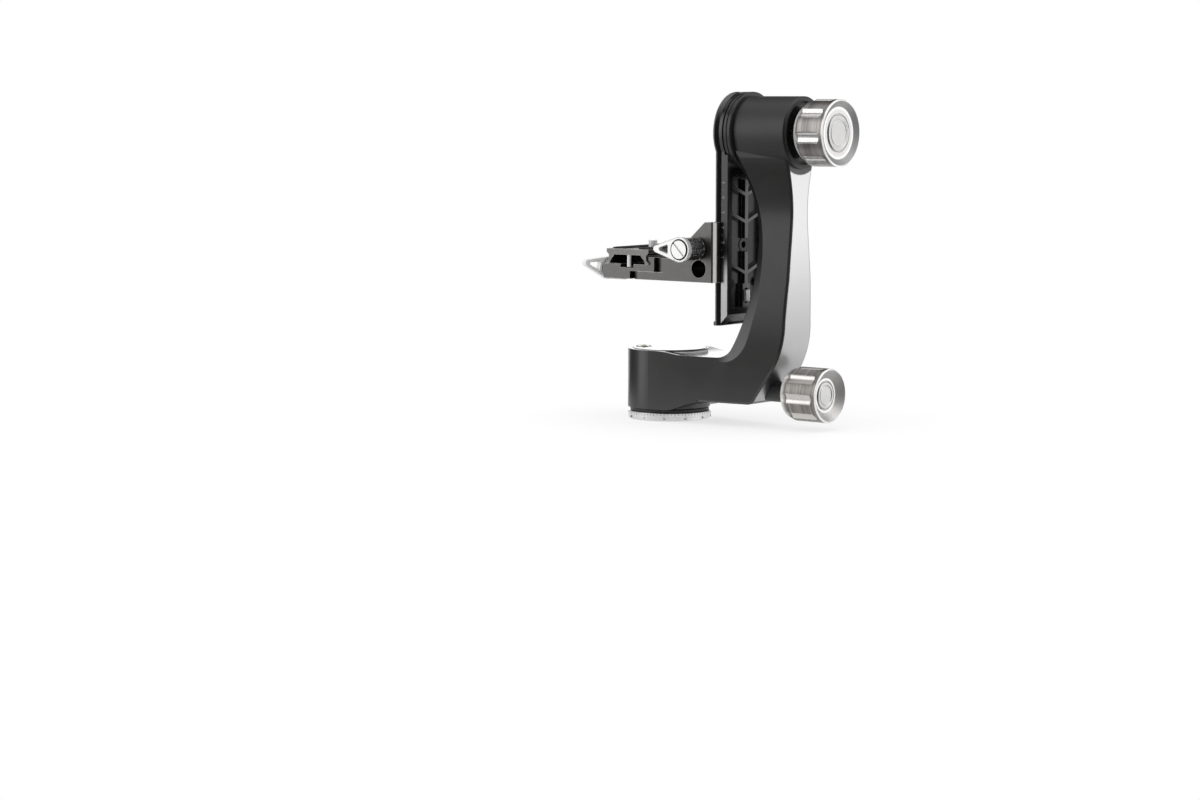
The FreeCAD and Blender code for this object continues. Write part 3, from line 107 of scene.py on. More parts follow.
def vectorNode(tree, operation, vector):
    node = addNode(tree, "ShaderNodeVectorMath", operation=operation)
    tree.links.new(vector, node.inputs[0])
    return node


def partsOf(tree, vector):
    node = addNode(tree, "ShaderNodeSeparateXYZ")
    tree.links.new(vector, node.inputs[0])
    return node.outputs


def noiseOf(tree, vector, **values):
    node = addNode(tree, "ShaderNodeTexNoise", **values)
    tree.links.new(vector, node.inputs["Vector"])
    return node


def mixColour(tree, factor, first, second):
    # a colour is a socket, three numbers, or one number for a grey
    node = tree.nodes.new("ShaderNodeMix")
    node.data_type = "RGBA"
    for name, value in (("Factor", factor), ("A", first), ("B", second)):
        socket = node.inputs[name]
        if isinstance(value, bpy.types.NodeSocket):
            tree.links.new(value, socket)
        elif name == "Factor":
            socket.default_value = value
        elif isinstance(value, float):
            socket.default_value = (value, value, value, 1)
        else:
            socket.default_value = (*value, 1)
    return node.outputs["Result"]


def spread(tree, value, low, high, newLow=0.0, newHigh=1.0):
    node = addNode(tree, "ShaderNodeMapRange", interpolation_type="SMOOTHSTEP")
    tree.links.new(value, node.inputs["Value"])
    for name, number in (("From Min", low), ("From Max", high), ("To Min", newLow), ("To Max", newHigh)):
        node.inputs[name].default_value = number
    return node.outputs["Result"]


def newGroup(name, numbers, outputs):
    # a group that takes a vector and some numbers
    group = bpy.data.node_groups.new(name, "ShaderNodeTree")
    sockets = group.interface
    sockets.new_socket("Vector", in_out="INPUT", socket_type="NodeSocketVector")
    for label, value in numbers.items():
        sockets.new_socket(label, in_out="INPUT", socket_type="NodeSocketFloat").default_value = value
    for label, kind in outputs.items():
        sockets.new_socket(label, in_out="OUTPUT", socket_type="NodeSocket" + kind)
    return group, group.nodes.new("NodeGroupInput"), group.nodes.new("NodeGroupOutput")


# node groups: the effects that several finishes share

fleckEffect = {
    "detail": 2.0, "rough": 0.7, "from": 0.34, "to": 0.7, "peelDetail": 1.0, "peelPart": 0.6,
    "fleckPart": 0.4,
}
turnedEffect = {"detail": 3.0, "rough": 0.65, "from": 0.3, "to": 0.72}
handlingEffect = {"detail": 4.0, "rough": 0.55, "twist": 0.6, "from": 0.35, "to": 0.68}
edgeEffect = {
    "samples": 5, "patches": 700.0, "detail": 3.0, "from": 0.25, "to": 0.6, "least": 0.5, "gain": 14.0,
}


def buildFleckGroup():
    # fine powder coat or blasted grain: small flecks over a soft orange peel
    look = fleckEffect
    group, start, end = newGroup("fineFleck", {"Fleck Scale": 4200.0, "Peel Scale": 900.0},
                                 {"Fleck": "Float", "Height": "Float"})
    vector = start.outputs["Vector"]
    fleck = noiseOf(group, vector, Detail=look["detail"], Roughness=look["rough"])
    peel = noiseOf(group, vector, Detail=look["peelDetail"])
    group.links.new(start.outputs["Fleck Scale"], fleck.inputs["Scale"])
    group.links.new(start.outputs["Peel Scale"], peel.inputs["Scale"])
    tone = spread(group, fleck.outputs["Fac"], look["from"], look["to"])
    raised = times(group, peel.outputs["Fac"], look["peelPart"])
    height = plus(group, raised, times(group, tone, look["fleckPart"]))
    group.links.new(tone, end.inputs["Fleck"])
    group.links.new(height, end.inputs["Height"])
    return group


def buildTurnedGroup():
    # tool lines left by a lathe: long round the axis (the Z of the vector given), short across it
    look = turnedEffect
    group, start, end = newGroup("turnedLines", {"Lines": 6000.0, "Length": 1.6},
                                 {"Tone": "Float", "Height": "Float"})
    x, y, z = partsOf(group, start.outputs["Vector"])
    radius = lengthOf(group, x, y)
    turn = mathNode(group, "ABSOLUTE", mathNode(group, "ARCTAN2", y, x))
    joined = addNode(group, "ShaderNodeCombineXYZ")
    lines = start.outputs["Lines"]
    group.links.new(times(group, radius, lines), joined.inputs[0])
    group.links.new(times(group, z, lines), joined.inputs[1])
    group.links.new(times(group, turn, start.outputs["Length"]), joined.inputs[2])
    noise = noiseOf(group, joined.outputs[0], Scale=1.0, Detail=look["detail"], Roughness=look["rough"])
    tone = spread(group, noise.outputs["Fac"], look["from"], look["to"])
    group.links.new(tone, end.inputs["Tone"])
    group.links.new(noise.outputs["Fac"], end.inputs["Height"])
    return group


def buildHandlingGroup():
    # slow change from handling: faint smears and dull patches
    look = handlingEffect
    group, start, end = newGroup("handling", {"Patch Scale": 45.0}, {"Smear": "Float"})
    slow = noiseOf(group, start.outputs["Vector"], Detail=look["detail"], Roughness=look["rough"],
                   Distortion=look["twist"])
    group.links.new(start.outputs["Patch Scale"], slow.inputs["Scale"])
    smear = spread(group, slow.outputs["Fac"], look["from"], look["to"])
    group.links.new(smear, end.inputs["Smear"])
    return group


def buildEdgeGroup():
    # the small radius that a finish leaves on an edge, as a rounded shading normal, and a patchy mask along
    # the edge that the finishes paint in their edge colour: partly rubbed wear, partly painted edge
    # highlights and painted dark reflection lines
    look = edgeEffect
    group, start, end = newGroup("edgeLineAndWear", {"Threshold": 0.06, "Radius": 0.35 * mm},
                                 {"Edge": "Float", "Normal": "Vector"})
    bevel = addNode(group, "ShaderNodeBevel", samples=look["samples"])
    group.links.new(start.outputs["Radius"], bevel.inputs["Radius"])
    group.links.new(bevel.outputs[0], end.inputs["Normal"])
    geometry = group.nodes.new("ShaderNodeNewGeometry")
    dot = vectorNode(group, "DOT_PRODUCT", bevel.outputs[0])
    group.links.new(geometry.outputs["Normal"], dot.inputs[1])
    patchy = noiseOf(group, start.outputs["Vector"], Scale=look["patches"], Detail=look["detail"])
    turned = mathNode(group, "SUBTRACT", 1.0, dot.outputs["Value"])
    thin = spread(group, patchy.outputs["Fac"], look["from"], look["to"], look["least"], 1.0)
    over = mathNode(group, "SUBTRACT", times(group, turned, thin), start.outputs["Threshold"])
    group.links.new(mathNode(group, "MULTIPLY", over, look["gain"], clamp=True), end.inputs["Edge"])
    return group


fleckGroup = buildFleckGroup()
turnedGroup = buildTurnedGroup()
handlingGroup = buildHandlingGroup()
edgeGroup = buildEdgeGroup()


# materials

def startMaterial(name, centre=None, turn=(0, 0, 0)):
    # Object coordinates, moved and turned so that an axis of the piece becomes the pattern's Z
    material = bpy.data.materials.new(name)
    material.use_nodes = True
    tree = material.node_tree
    coords = tree.nodes.new("ShaderNodeTexCoord").outputs["Object"]
    if centre is not None:
        shift = addNode(tree, "ShaderNodeMapping", vector_type="POINT")
        tree.links.new(coords, shift.inputs["Vector"])
        shift.inputs["Location"].default_value = -centre
        spin = addNode(tree, "ShaderNodeMapping", vector_type="POINT")
        tree.links.new(shift.outputs[0], spin.inputs["Vector"])
        spin.inputs["Rotation"].default_value = turn
        coords = spin.outputs[0]
    return material, tree, tree.nodes["Principled BSDF"], coords


def feeding(material, name):
    # the socket that now feeds one input of the material's shader
    return material.node_tree.nodes["Principled BSDF"].inputs[name].links[0].from_socket


def feed(material, name, socket):
    material.node_tree.links.new(socket, material.node_tree.nodes["Principled BSDF"].inputs[name])


def useGroup(tree, group, coords, **values):
    node = tree.nodes.new("ShaderNodeGroup")
    node.node_tree = group
    tree.links.new(coords, node.inputs["Vector"])
    for key, value in values.items():
        node.inputs[key].default_value = value
    return node


def holdEven(shader, look, *names):
    # values that are the same all over a piece
    keys = {"Roughness": "rough", "Metallic": "metal", "Coat Weight": "coat", "Specular IOR Level": "shine"}
    for name in names:
        shader.inputs[name].default_value = look[keys[name]]


def addBump(material, height, distance, normal):
    tree = material.node_tree
    bump = addNode(tree, "ShaderNodeBump")
    bump.inputs["Distance"].default_value = distance
    tree.links.new(height, bump.inputs["Height"])
    tree.links.new(normal, bump.inputs["Normal"])
    feed(material, "Normal", bump.outputs[0])


def addGrain(tree, coords, look):
    scales = {"Fleck Scale": look["fleckScale"], "Peel Scale": look["peelScale"]}
    return useGroup(tree, fleckGroup, coords, **scales)


# how much rougher a finish is where its pattern is low, where it is high, and in a smear
roughChange = {"grain": (-0.015, 0.02), "turned": (0.05, -0.05), "smear": 0.05}
turnedEdgeFrom = 0.05


def grainyFinish(name, look):
    # a coated or blasted surface with its edges painted another shade: some rubbed wear, and a painted edge
    # highlight where the edge colour is pale, a painted dark reflection line where it is near black
    material, tree, shader, coords = startMaterial(name)
    grain = addGrain(tree, coords, look)
    smear = useGroup(tree, handlingGroup, coords, **{"Patch Scale": look["patchScale"]}).outputs["Smear"]
    edge = useGroup(tree, edgeGroup, coords, Threshold=look["edgeFrom"], Radius=look["edgeRadius"] * mm)
    colour = mixColour(tree, grain.outputs["Fleck"], look["dark"], look["light"])
    # the look's edge colour painted along the edges: a painted highlight when pale, a painted dark
    # reflection line when near black, over patchy rubbed wear
    paintedEdgeLineAndWear = times(tree, edge.outputs["Edge"], look["edgeAmount"])
    feed(material, "Base Color", mixColour(tree, paintedEdgeLineAndWear, colour, look["edge"]))
    low, high = roughChange["grain"]
    feed(material, "Roughness", spread(tree, smear, 0, 1, look["rough"] + low, look["rough"] + high))
    edgeMetal = look.get("edgeMetal", look["metal"])
    feed(material, "Metallic", spread(tree, paintedEdgeLineAndWear, 0, 1, look["metal"], edgeMetal))
    shader.inputs["Specular IOR Level"].default_value = look.get("shine", 0.5)
    addBump(material, grain.outputs["Height"], look["bump"] * mm, edge.outputs["Normal"])
    return material


def turnedFinish(name, look, centre, turn):
    # bare or anodised metal straight off the lathe
    material, tree, shader, coords = startMaterial(name, centre, turn)
    lines = useGroup(tree, turnedGroup, coords, Lines=look["lines"], Length=look["length"])
    smear = useGroup(tree, handlingGroup, coords, **{"Patch Scale": look["patchScale"]}).outputs["Smear"]
    edge = useGroup(tree, edgeGroup, coords, Threshold=turnedEdgeFrom, Radius=look["edgeRadius"] * mm)
    colour = mixColour(tree, lines.outputs["Tone"], look["dark"], look["light"])
    # the look's pale edge colour painted along the edges: a painted edge highlight over patchy rubbed wear
    paintedEdgeLineAndWear = times(tree, edge.outputs["Edge"], look["edgeAmount"])
    feed(material, "Base Color", mixColour(tree, paintedEdgeLineAndWear, colour, look["edge"]))
    low, high = roughChange["turned"]
    rough = spread(tree, lines.outputs["Tone"], 0, 1, look["rough"] + low, look["rough"] + high)
    feed(material, "Roughness", plus(tree, rough, times(tree, smear, roughChange["smear"])))
    shader.inputs["Metallic"].default_value = 1.0
    addBump(material, lines.outputs["Height"], look["bump"] * mm, edge.outputs["Normal"])
    return material


def recolour(material, amount, colour):
    mixed = mixColour(material.node_tree, amount, feeding(material, "Base Color"), colour)
    feed(material, "Base Color", mixed)


def roughen(material, amount, change):
    tree = material.node_tree
    feed(material, "Roughness", plus(tree, feeding(material, "Roughness"), times(tree, amount, change)))


def layoutOf(material):
    # the coordinates that the finish is laid out in
    group = next(node for node in material.node_tree.nodes if node.type == "GROUP")
    return group.inputs["Vector"].links[0].from_socket


def placeParts(material):
    return partsOf(material.node_tree, layoutOf(material))


eastward = (0, math.radians(-90), 0)     # turns X into the pattern's Z
southward = (math.radians(-90), 0, 0)    # turns Y into the pattern's Z

# each look's edge colour is painted along its edges: the pale ones are painted edge highlights, the
# near-black ones of the strip and the levers are painted dark reflection lines, all over some rubbed wear
armLook = {
    "dark": (0.008, 0.0079, 0.0077), "light": (0.028, 0.0273, 0.0266), "edge": 0.008, "edgeAmount": 0.6,
    "edgeFrom": 0.05, "edgeRadius": 0.55, "fleckScale": 5200.0, "peelScale": 1500.0, "patchScale": 30.0,
    "rough": 0.29, "metal": 0.0, "shine": 0.85, "bump": 0.008,
}
barrelLook = {
    "dark": (0.010, 0.010, 0.011), "light": (0.018, 0.018, 0.019), "edge": 0.30, "edgeAmount": 0.5,
    "edgeFrom": 0.06, "edgeRadius": 0.3, "fleckScale": 3600.0, "peelScale": 1100.0, "patchScale": 40.0,
    "rough": 0.30, "metal": 0.0, "shine": 0.5, "bump": 0.006,
}
castingLook = {
    "dark": (0.0045, 0.0045, 0.005), "light": (0.010, 0.010, 0.0105), "edge": 0.22, "edgeAmount": 0.5,
    "edgeFrom": 0.05, "edgeRadius": 0.4, "fleckScale": 2600.0, "peelScale": 700.0, "patchScale": 60.0,
    "rough": 0.22, "metal": 0.0, "shine": 0.4, "bump": 0.010,
}
railLook = {
    "dark": (0.10, 0.099, 0.098), "light": (0.16, 0.158, 0.156), "edge": (0.75, 0.75, 0.74),
    "edgeAmount": 0.7, "edgeFrom": 0.04, "edgeRadius": 0.35, "fleckScale": 3400.0, "peelScale": 1200.0,
    "patchScale": 50.0, "rough": 0.34, "metal": 1.0, "edgeMetal": 0.3, "bump": 0.005,
}
bracketLook = {
    "dark": (0.13, 0.125, 0.121), "light": (0.20, 0.194, 0.188), "edge": (0.80, 0.80, 0.79),
    "edgeAmount": 0.85, "edgeFrom": 0.03, "edgeRadius": 0.55, "fleckScale": 3800.0, "peelScale": 1300.0,
    "patchScale": 45.0, "rough": 0.36, "metal": 1.0, "edgeMetal": 0.3, "bump": 0.006,
}
plateLook = {
    **bracketLook, "dark": (0.16, 0.155, 0.150), "light": (0.25, 0.243, 0.237),
    "edge": (0.82, 0.82, 0.81), "rough": 0.34,
}
stripLook = {
    "dark": (0.74, 0.74, 0.745), "light": (0.86, 0.86, 0.865), "edge": 0.02, "edgeAmount": 1.0,
    "edgeFrom": 0.015, "edgeRadius": 1.3, "fleckScale": 4600.0, "peelScale": 1600.0, "patchScale": 28.0,
    "rough": 0.33, "metal": 1.0, "bump": 0.002,
}
leverLook = {
    "dark": (0.74, 0.74, 0.735), "light": (0.82, 0.82, 0.815), "edge": 0.03, "edgeAmount": 0.9,
    "edgeFrom": 0.03, "edgeRadius": 0.45, "fleckScale": 2400.0, "peelScale": 900.0, "patchScale": 70.0,
    "rough": 0.24, "metal": 0.6, "bump": 0.003,
}
blackSteelLook = {
    "dark": (0.03, 0.03, 0.031), "light": (0.055, 0.055, 0.056), "edge": 0.35, "edgeAmount": 0.5,
    "edgeFrom": 0.05, "edgeRadius": 0.25, "fleckScale": 4200.0, "peelScale": 1500.0, "patchScale": 90.0,
    "rough": 0.32, "metal": 1.0, "bump": 0.004,
}
plasticLook = {
    "dark": (0.012, 0.012, 0.013), "light": (0.024, 0.024, 0.025), "edge": 0.06, "edgeAmount": 0.3,
    "edgeFrom": 0.08, "edgeRadius": 0.35, "fleckScale": 2200.0, "peelScale": 800.0, "patchScale": 70.0,
    "rough": 0.40, "metal": 0.0, "bump": 0.012,
}
rubberLook = {
    "dark": 0.016, "light": 0.030, "edge": 0.05, "edgeAmount": 0.2, "edgeFrom": 0.1, "edgeRadius": 0.3,
    "fleckScale": 1800.0, "peelScale": 600.0, "patchScale": 60.0, "rough": 0.72, "metal": 0.0,
    "bump": 0.02,
}
steelLook = {
    "dark": (0.50, 0.50, 0.505), "light": (0.64, 0.64, 0.645), "edge": 0.85, "edgeAmount": 0.4,
    "edgeRadius": 0.25, "lines": 5200.0, "length": 2.0, "patchScale": 90.0, "rough": 0.26, "bump": 0.004,
}
knobLook = {
    "dark": (0.70, 0.685, 0.67), "light": (0.84, 0.825, 0.81), "edge": (0.92, 0.92, 0.91),
    "edgeAmount": 0.9, "edgeRadius": 0.45, "lines": 4200.0, "length": 1.2, "patchScale": 60.0,
    "rough": 0.24, "bump": 0.006, "landLines": 620.0,
}
knobCapLook = {
    **knobLook, "dark": (0.60, 0.595, 0.59), "light": (0.72, 0.715, 0.71), "lines": 5200.0, "length": 1.0,
    "rough": 0.32, "edgeRadius": 0.3, "bump": 0.004,
}
panKnobLook = {
    **knobLook, "dark": (0.62, 0.60, 0.575), "light": (0.78, 0.76, 0.73), "lines": 4600.0, "length": 1.6,
    "rough": 0.30, "bump": 0.005,
}
ringLook = {**steelLook, "dark": 0.70, "light": 0.92, "length": 0.8, "rough": 0.20}
spindleLook = {
    **steelLook, "dark": (0.40, 0.40, 0.405), "light": (0.56, 0.56, 0.565), "length": 1.2, "rough": 0.30,
}
bearingLook = {
    **steelLook, "dark": (0.62, 0.62, 0.63), "light": (0.76, 0.76, 0.77), "lines": 7000.0, "length": 0.6,
    "rough": 0.16, "bump": 0.002,
}
brassLook = {
    **steelLook, "dark": (0.52, 0.36, 0.14), "light": (0.70, 0.52, 0.23), "length": 1.6, "rough": 0.30,
}
knurlLook = {
    **steelLook, "dark": (0.42, 0.42, 0.422), "light": (0.66, 0.66, 0.663), "lines": 3200.0,
    "length": 1.0, "rough": 0.22, "bump": 0.004, "edge": 0.9, "edgeAmount": 0.9, "edgeRadius": 0.5,
    "around": 26.0, "along": 1700.0, "cut": 0.16, "groove": (0.05, 0.05, 0.051), "grooveFrom": 0.40,
    "grooveTo": 0.05,
}


hubStepHighlightLook = {"within": 28.5, "from": 48.72, "to": 50.1, "soft": 0.1, "fromSoft": 0.02, "colour": 0.90}
armSkinLook = {
    "barrelOver": 25.4, "barrelSoft": 0.3, "barrelColour": (0.004, 0.004, 0.0043), "barrelRough": 0.20,
    "topFrom": 0.70, "topTo": 0.97, "topUnder": 56.0, "topFade": 20.0, "topCoat": 1.0,
    "topCoatRough": 0.10,
}


def armFinish():
    # powder coat on the limb, darker and more matt on the barrel, glossy where it has levelled on top, with
    # a painted highlight on the step wall round the hub cap
    look = armSkinLook
    material = grainyFinish("armPowderCoat", armLook)
    tree = material.node_tree
    shader = tree.nodes["Principled BSDF"]
    x, y, z = placeParts(material)
    fromAxis = lengthOf(tree, y, mathNode(tree, "SUBTRACT", z, tiltAxis.z))
    start = look["barrelOver"]
    onBarrel = spread(tree, fromAxis, (start + look["barrelSoft"]) * mm, start * mm)
    recolour(material, onBarrel, look["barrelColour"])
    roughen(material, onBarrel, look["barrelRough"])
    # painted highlight: the step wall round the hub cap, which sits in shade, is painted pale
    step = hubStepHighlightLook
    radius = lengthOf(tree, x, y)
    inside = spread(tree, radius, (step["within"] + step["soft"]) * mm, step["within"] * mm)
    over = spread(tree, z, (step["from"] - step["fromSoft"]) * mm, step["from"] * mm)
    below = spread(tree, z, (step["to"] + step["soft"]) * mm, step["to"] * mm)
    recolour(material, times(tree, inside, times(tree, over, below)), step["colour"])
    facing = partsOf(tree, tree.nodes.new("ShaderNodeNewGeometry").outputs["Normal"])
    onTop = spread(tree, facing["Z"], look["topFrom"], look["topTo"], 0.0, look["topCoat"])
    under = spread(tree, z, (look["topUnder"] + look["topFade"]) * mm, look["topUnder"] * mm)
    feed(material, "Coat Weight", times(tree, onTop, under))
    shader.inputs["Coat Roughness"].default_value = look["topCoatRough"]
    return material


swingLook = {
    "ribFrom": 68.0, "rib": (0.15, 0.15, 0.152), "ribAmount": 0.8, "ribsUnder": 182.0, "ribFade": 6.0,
    "ribSoft": 0.3, "side": (0.46, 0.46, 0.465), "sideDark": (0.075, 0.074, 0.073),
    "sideSoft": (0.3, 0.1), "lightBelow": 104.0, "darkOver": 124.0, "metalRough": 0.10,
}


def swingFinish():
    # gloss black casting with its rib tops painted paler as a painted highlight where they catch the light,
    # and machined sides that are brighter towards the lower end
    look = swingLook
    material = grainyFinish("castingBlackSwing", castingLook)
    tree = material.node_tree
    x, y, z = placeParts(material)
    outer, inner = (swingSide - part * mm for part in look["sideSoft"])
    onSide = spread(tree, mathNode(tree, "ABSOLUTE", y), outer, inner)
    under = spread(tree, z, (look["ribsUnder"] + look["ribFade"]) * mm, look["ribsUnder"] * mm)
    # painted highlight: the rib tops are painted a lighter grey and made metallic
    ribEnd = look["ribFrom"] + look["ribSoft"]
    litRibTop = times(tree, spread(tree, x, look["ribFrom"] * mm, ribEnd * mm), under)
    recolour(material, times(tree, litRibTop, look["ribAmount"]), look["rib"])
    fade = spread(tree, z, look["lightBelow"] * mm, look["darkOver"] * mm)
    recolour(material, onSide, mixColour(tree, fade, look["side"], look["sideDark"]))
    metal = mathNode(tree, "MAXIMUM", litRibTop, onSide)
    feed(material, "Metallic", metal)
    roughen(material, metal, look["metalRough"])
    return material


hookLook = {
    "chamferFrom": 92.98, "chamferTo": 93.04, "paleFrom": 62.0, "paleTo": 63.75, "paleSoft": 0.1,
    "pale": (0.66, 0.65, 0.64), "dark": 0.03, "metal": 0.25,
}


def bracketFinish():
    # bead blasted grey; the chamfer on the hooks that hold the rail is painted near black as a painted
    # reflection of the studio's unlit side, with a pale band painted along it as a painted highlight line
    look = hookLook
    material = grainyFinish("bracketGreyHooked", bracketLook)
    tree = material.node_tree
    x, y = placeParts(material)[:2]
    soft = look["paleSoft"]
    total = plus(tree, x, mathNode(tree, "ABSOLUTE", y))
    onChamfer = spread(tree, total, look["chamferFrom"] * mm, look["chamferTo"] * mm)
    inner = spread(tree, x, (look["paleFrom"] - soft) * mm, (look["paleFrom"] + soft) * mm)
    outer = spread(tree, x, (look["paleTo"] + soft) * mm, (look["paleTo"] - soft) * mm)
    pale = times(tree, inner, outer)
    # painted reflection and painted highlight on the hook chamfer
    recolour(material, onChamfer, mixColour(tree, pale, look["dark"], look["pale"]))
    metal = times(tree, feeding(material, "Metallic"), spread(tree, onChamfer, 0, 1, 1.0, look["metal"]))
    feed(material, "Metallic", metal)
    return material


stripShadeLook = {"low": 52.0, "high": 150.0, "lowColour": (0.42, 0.42, 0.425), "amount": 0.85}


def stripFinish():
    # the silver inlay, painted darker towards its lower end as painted shade where it curves in near the
    # lower knob
    look = stripShadeLook
    material = grainyFinish("inlaySilver", stripLook)
    tree = material.node_tree
    height = placeParts(material)["Z"]
    # painted shade: the silver is mixed towards a darker grey lower down
    amount = spread(tree, height, look["low"] * mm, look["high"] * mm, look["amount"], 0.0)
    mixed = feeding(material, "Base Color").node
    silver = mixed.inputs["A"].links[0].from_socket
    tree.links.new(mixColour(tree, amount, silver, look["lowColour"]), mixed.inputs["A"])
    return material


knobShapes = {
    "tilt_knob": {
        "ring": 18.1, "ringIn": 16.3, "dish": 2.7, "skirt": 5.9, "skirtShade": (0.22, 0.215, 0.21),
        "land": (0.28, 0.265, 0.255), "dishPaintedReflection": 0.42, "dishRough": 0.30,
    },
    "pan_knob": {
        "ring": 12.2, "ringIn": 10.5, "dish": 4.6, "skirt": 5.9, "skirtShade": (0.20, 0.19, 0.18),
        "land": (0.27, 0.255, 0.24), "dishPaintedReflection": (0.62, 0.61, 0.60), "dishRough": 0.16,
    },
}


# where the parts of a knob begin and end, in from its outer radius, down from its front or up from its
# back, and the tones that both knobs share
# the rim and ring tones below are painted highlights
knobBands = {
    "land": (0.45, 0.2), "landTop": (1.1, 1.4), "skirt": (1.5, 5.4), "dishWall": (0.95, 1.15),
    "rimTop": (1.0, 0.85), "skirtSoft": 0.1, "dishLip": (0.02, 0.12), "dishFloor": (0.3, 0.1),
    "ringSoft": 0.2, "capSoft": (0.1, 0.2), "streak": (0.66, 1.35), "streakLength": 0.5,
    "landRough": 0.08, "rim": (0.93, 0.93, 0.92), "ring": (0.95, 0.95, 0.94), "skirtPale": 0.8,
    "paleMetal": 0.25,
}


def knobFinish(name, look, node, centre):
    # brushed lands painted darker as a painted reflection, paler milled flutes and skirt with painted shade
    # on the skirt, a dish painted grey as a painted reflection, and a rim and a ring round the cap painted
    # bright as painted highlights
    shape = knobShapes[node]
    bands = knobBands
    material = turnedFinish(name, look, centre, eastward)
    tree = material.node_tree
    low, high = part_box(node)
    x, y, along = placeParts(material)
    radius = lengthOf(tree, x, y)
    outer = (high.y - low.y) / 2
    front = (high.x - low.x) / 2
    floor = front - shape["dish"] * mm
    onLand = spread(tree, radius, outer - bands["land"][0] * mm, outer - bands["land"][1] * mm)
    underTop = spread(tree, along, front - bands["landTop"][0] * mm, front - bands["landTop"][1] * mm)
    onLand = times(tree, onLand, underTop)
    streaks = useGroup(tree, turnedGroup, layoutOf(material), Lines=look["landLines"],
                       Length=bands["streakLength"])
    dark, light = ([part * share for part in shape["land"]] for share in bands["streak"])
    # painted reflection: the lands are painted darker with streaks over their brushed grain
    recolour(material, onLand, mixColour(tree, streaks.outputs["Tone"], dark, light))
    roughen(material, onLand, bands["landRough"])
    skirtFrom, skirtTo = (shape["skirt"] + part for part in (bands["skirtSoft"], -bands["skirtSoft"]))
    onSkirt = spread(tree, along, skirtFrom * mm - front, skirtTo * mm - front)
    shaded = spread(tree, along, bands["skirt"][0] * mm - front, bands["skirt"][1] * mm - front)
    # painted shade: the skirt is painted darker away from the knob's back
    recolour(material, times(tree, onSkirt, shaded), shape["skirtShade"])
    inside = spread(tree, radius, outer - bands["dishWall"][0] * mm, outer - bands["dishWall"][1] * mm)
    lipFrom, lipTo = (floor + part * mm for part in bands["dishLip"])
    inDish = times(tree, spread(tree, along, lipFrom, lipTo), inside)
    # painted reflection: the dish is painted a flat grey
    recolour(material, inDish, shape["dishPaintedReflection"])
    roughen(material, inDish, shape["dishRough"])
    onTop = spread(tree, along, front - bands["rimTop"][0] * mm, front - bands["rimTop"][1] * mm)
    onRimHighlight = times(tree, onTop, mathNode(tree, "SUBTRACT", 1.0, inside))
    # painted highlight: a bright rim painted round the dish
    recolour(material, onRimHighlight, bands["rim"])
    pale = mathNode(tree, "MAXIMUM", onRimHighlight, times(tree, onSkirt, bands["skirtPale"]))
    feed(material, "Metallic", spread(tree, pale, 0, 1, 1.0, bands["paleMetal"]))
    floorFrom, floorTo = (floor - part * mm for part in bands["dishFloor"])
    onFloor = spread(tree, along, floorFrom, floorTo)
    withinRing = spread(tree, radius, shape["ring"] * mm, (shape["ring"] - bands["ringSoft"]) * mm)
    capFrom, capTo = shape["ringIn"] - bands["capSoft"][0], shape["ringIn"] + bands["capSoft"][1]
    pastCap = spread(tree, radius, capFrom * mm, capTo * mm)
    # painted highlight: a bright ring painted on the dish floor round the cap
    recolour(material, times(tree, times(tree, onFloor, withinRing), pastCap), bands["ring"])
    return material


discLook = {"rimFrom": 6.30, "rimTo": 6.50, "line": 0.015, "edgeRadius": 0.25}


def discFinish(name, centre, turn):
    # the silver screw disc of a lever with a dark line painted round its rim, painted shade in the gap
    # round the disc
    look = discLook
    material, tree, shader, coords = startMaterial(name, centre, turn)
    grain = addGrain(tree, coords, leverLook)
    silver = mixColour(tree, grain.outputs["Fleck"], leverLook["dark"], leverLook["light"])
    feed(material, "Base Color", silver)
    radius = lengthOf(tree, *placeParts(material)[:2])
    # painted shade: a near-black line round the disc's rim
    gapShadeLine = spread(tree, radius, look["rimFrom"] * mm, look["rimTo"] * mm)
    recolour(material, gapShadeLine, look["line"])
    holdEven(shader, leverLook, "Roughness", "Metallic")
    edge = useGroup(tree, edgeGroup, coords, Radius=look["edgeRadius"] * mm)
    addBump(material, grain.outputs["Height"], leverLook["bump"] * mm, edge.outputs["Normal"])
    return material


def knurlFinish(name, look, centre, turn):
    # a fine diamond knurl rolled into a turned barrel, its grooves painted dark as painted shade
    material = turnedFinish(name, look, centre, turn)
    tree = material.node_tree
    x, y, along = placeParts(material)
    around = times(tree, mathNode(tree, "ARCTAN2", y, x), look["around"])
    rise = times(tree, along, look["along"])
    one = mathNode(tree, "ABSOLUTE", mathNode(tree, "SINE", plus(tree, around, rise)))
    other = mathNode(tree, "ABSOLUTE", mathNode(tree, "SINE", mathNode(tree, "SUBTRACT", around, rise)))
    diamond = times(tree, one, other)
    # painted shade in the knurl's grooves
    grooveShade = spread(tree, diamond, look["grooveFrom"], look["grooveTo"])
    recolour(material, grooveShade, look["groove"])
    addBump(material, diamond, look["cut"] * mm, feeding(material, "Normal"))
    return material


levelLiquidLook = {
    "edge": (0.30, 0.62, 0.07), "middle": (0.55, 0.86, 0.16), "fade": (1.0, 5.6), "rough": 0.06,
    "coat": 0.6,
}
levelAirLook = {
    "dark": (0.80, 0.93, 0.50), "light": (0.88, 0.97, 0.62), "haze": 900.0, "detail": 2.0,
    "rough": 0.05, "coat": 0.8,
}


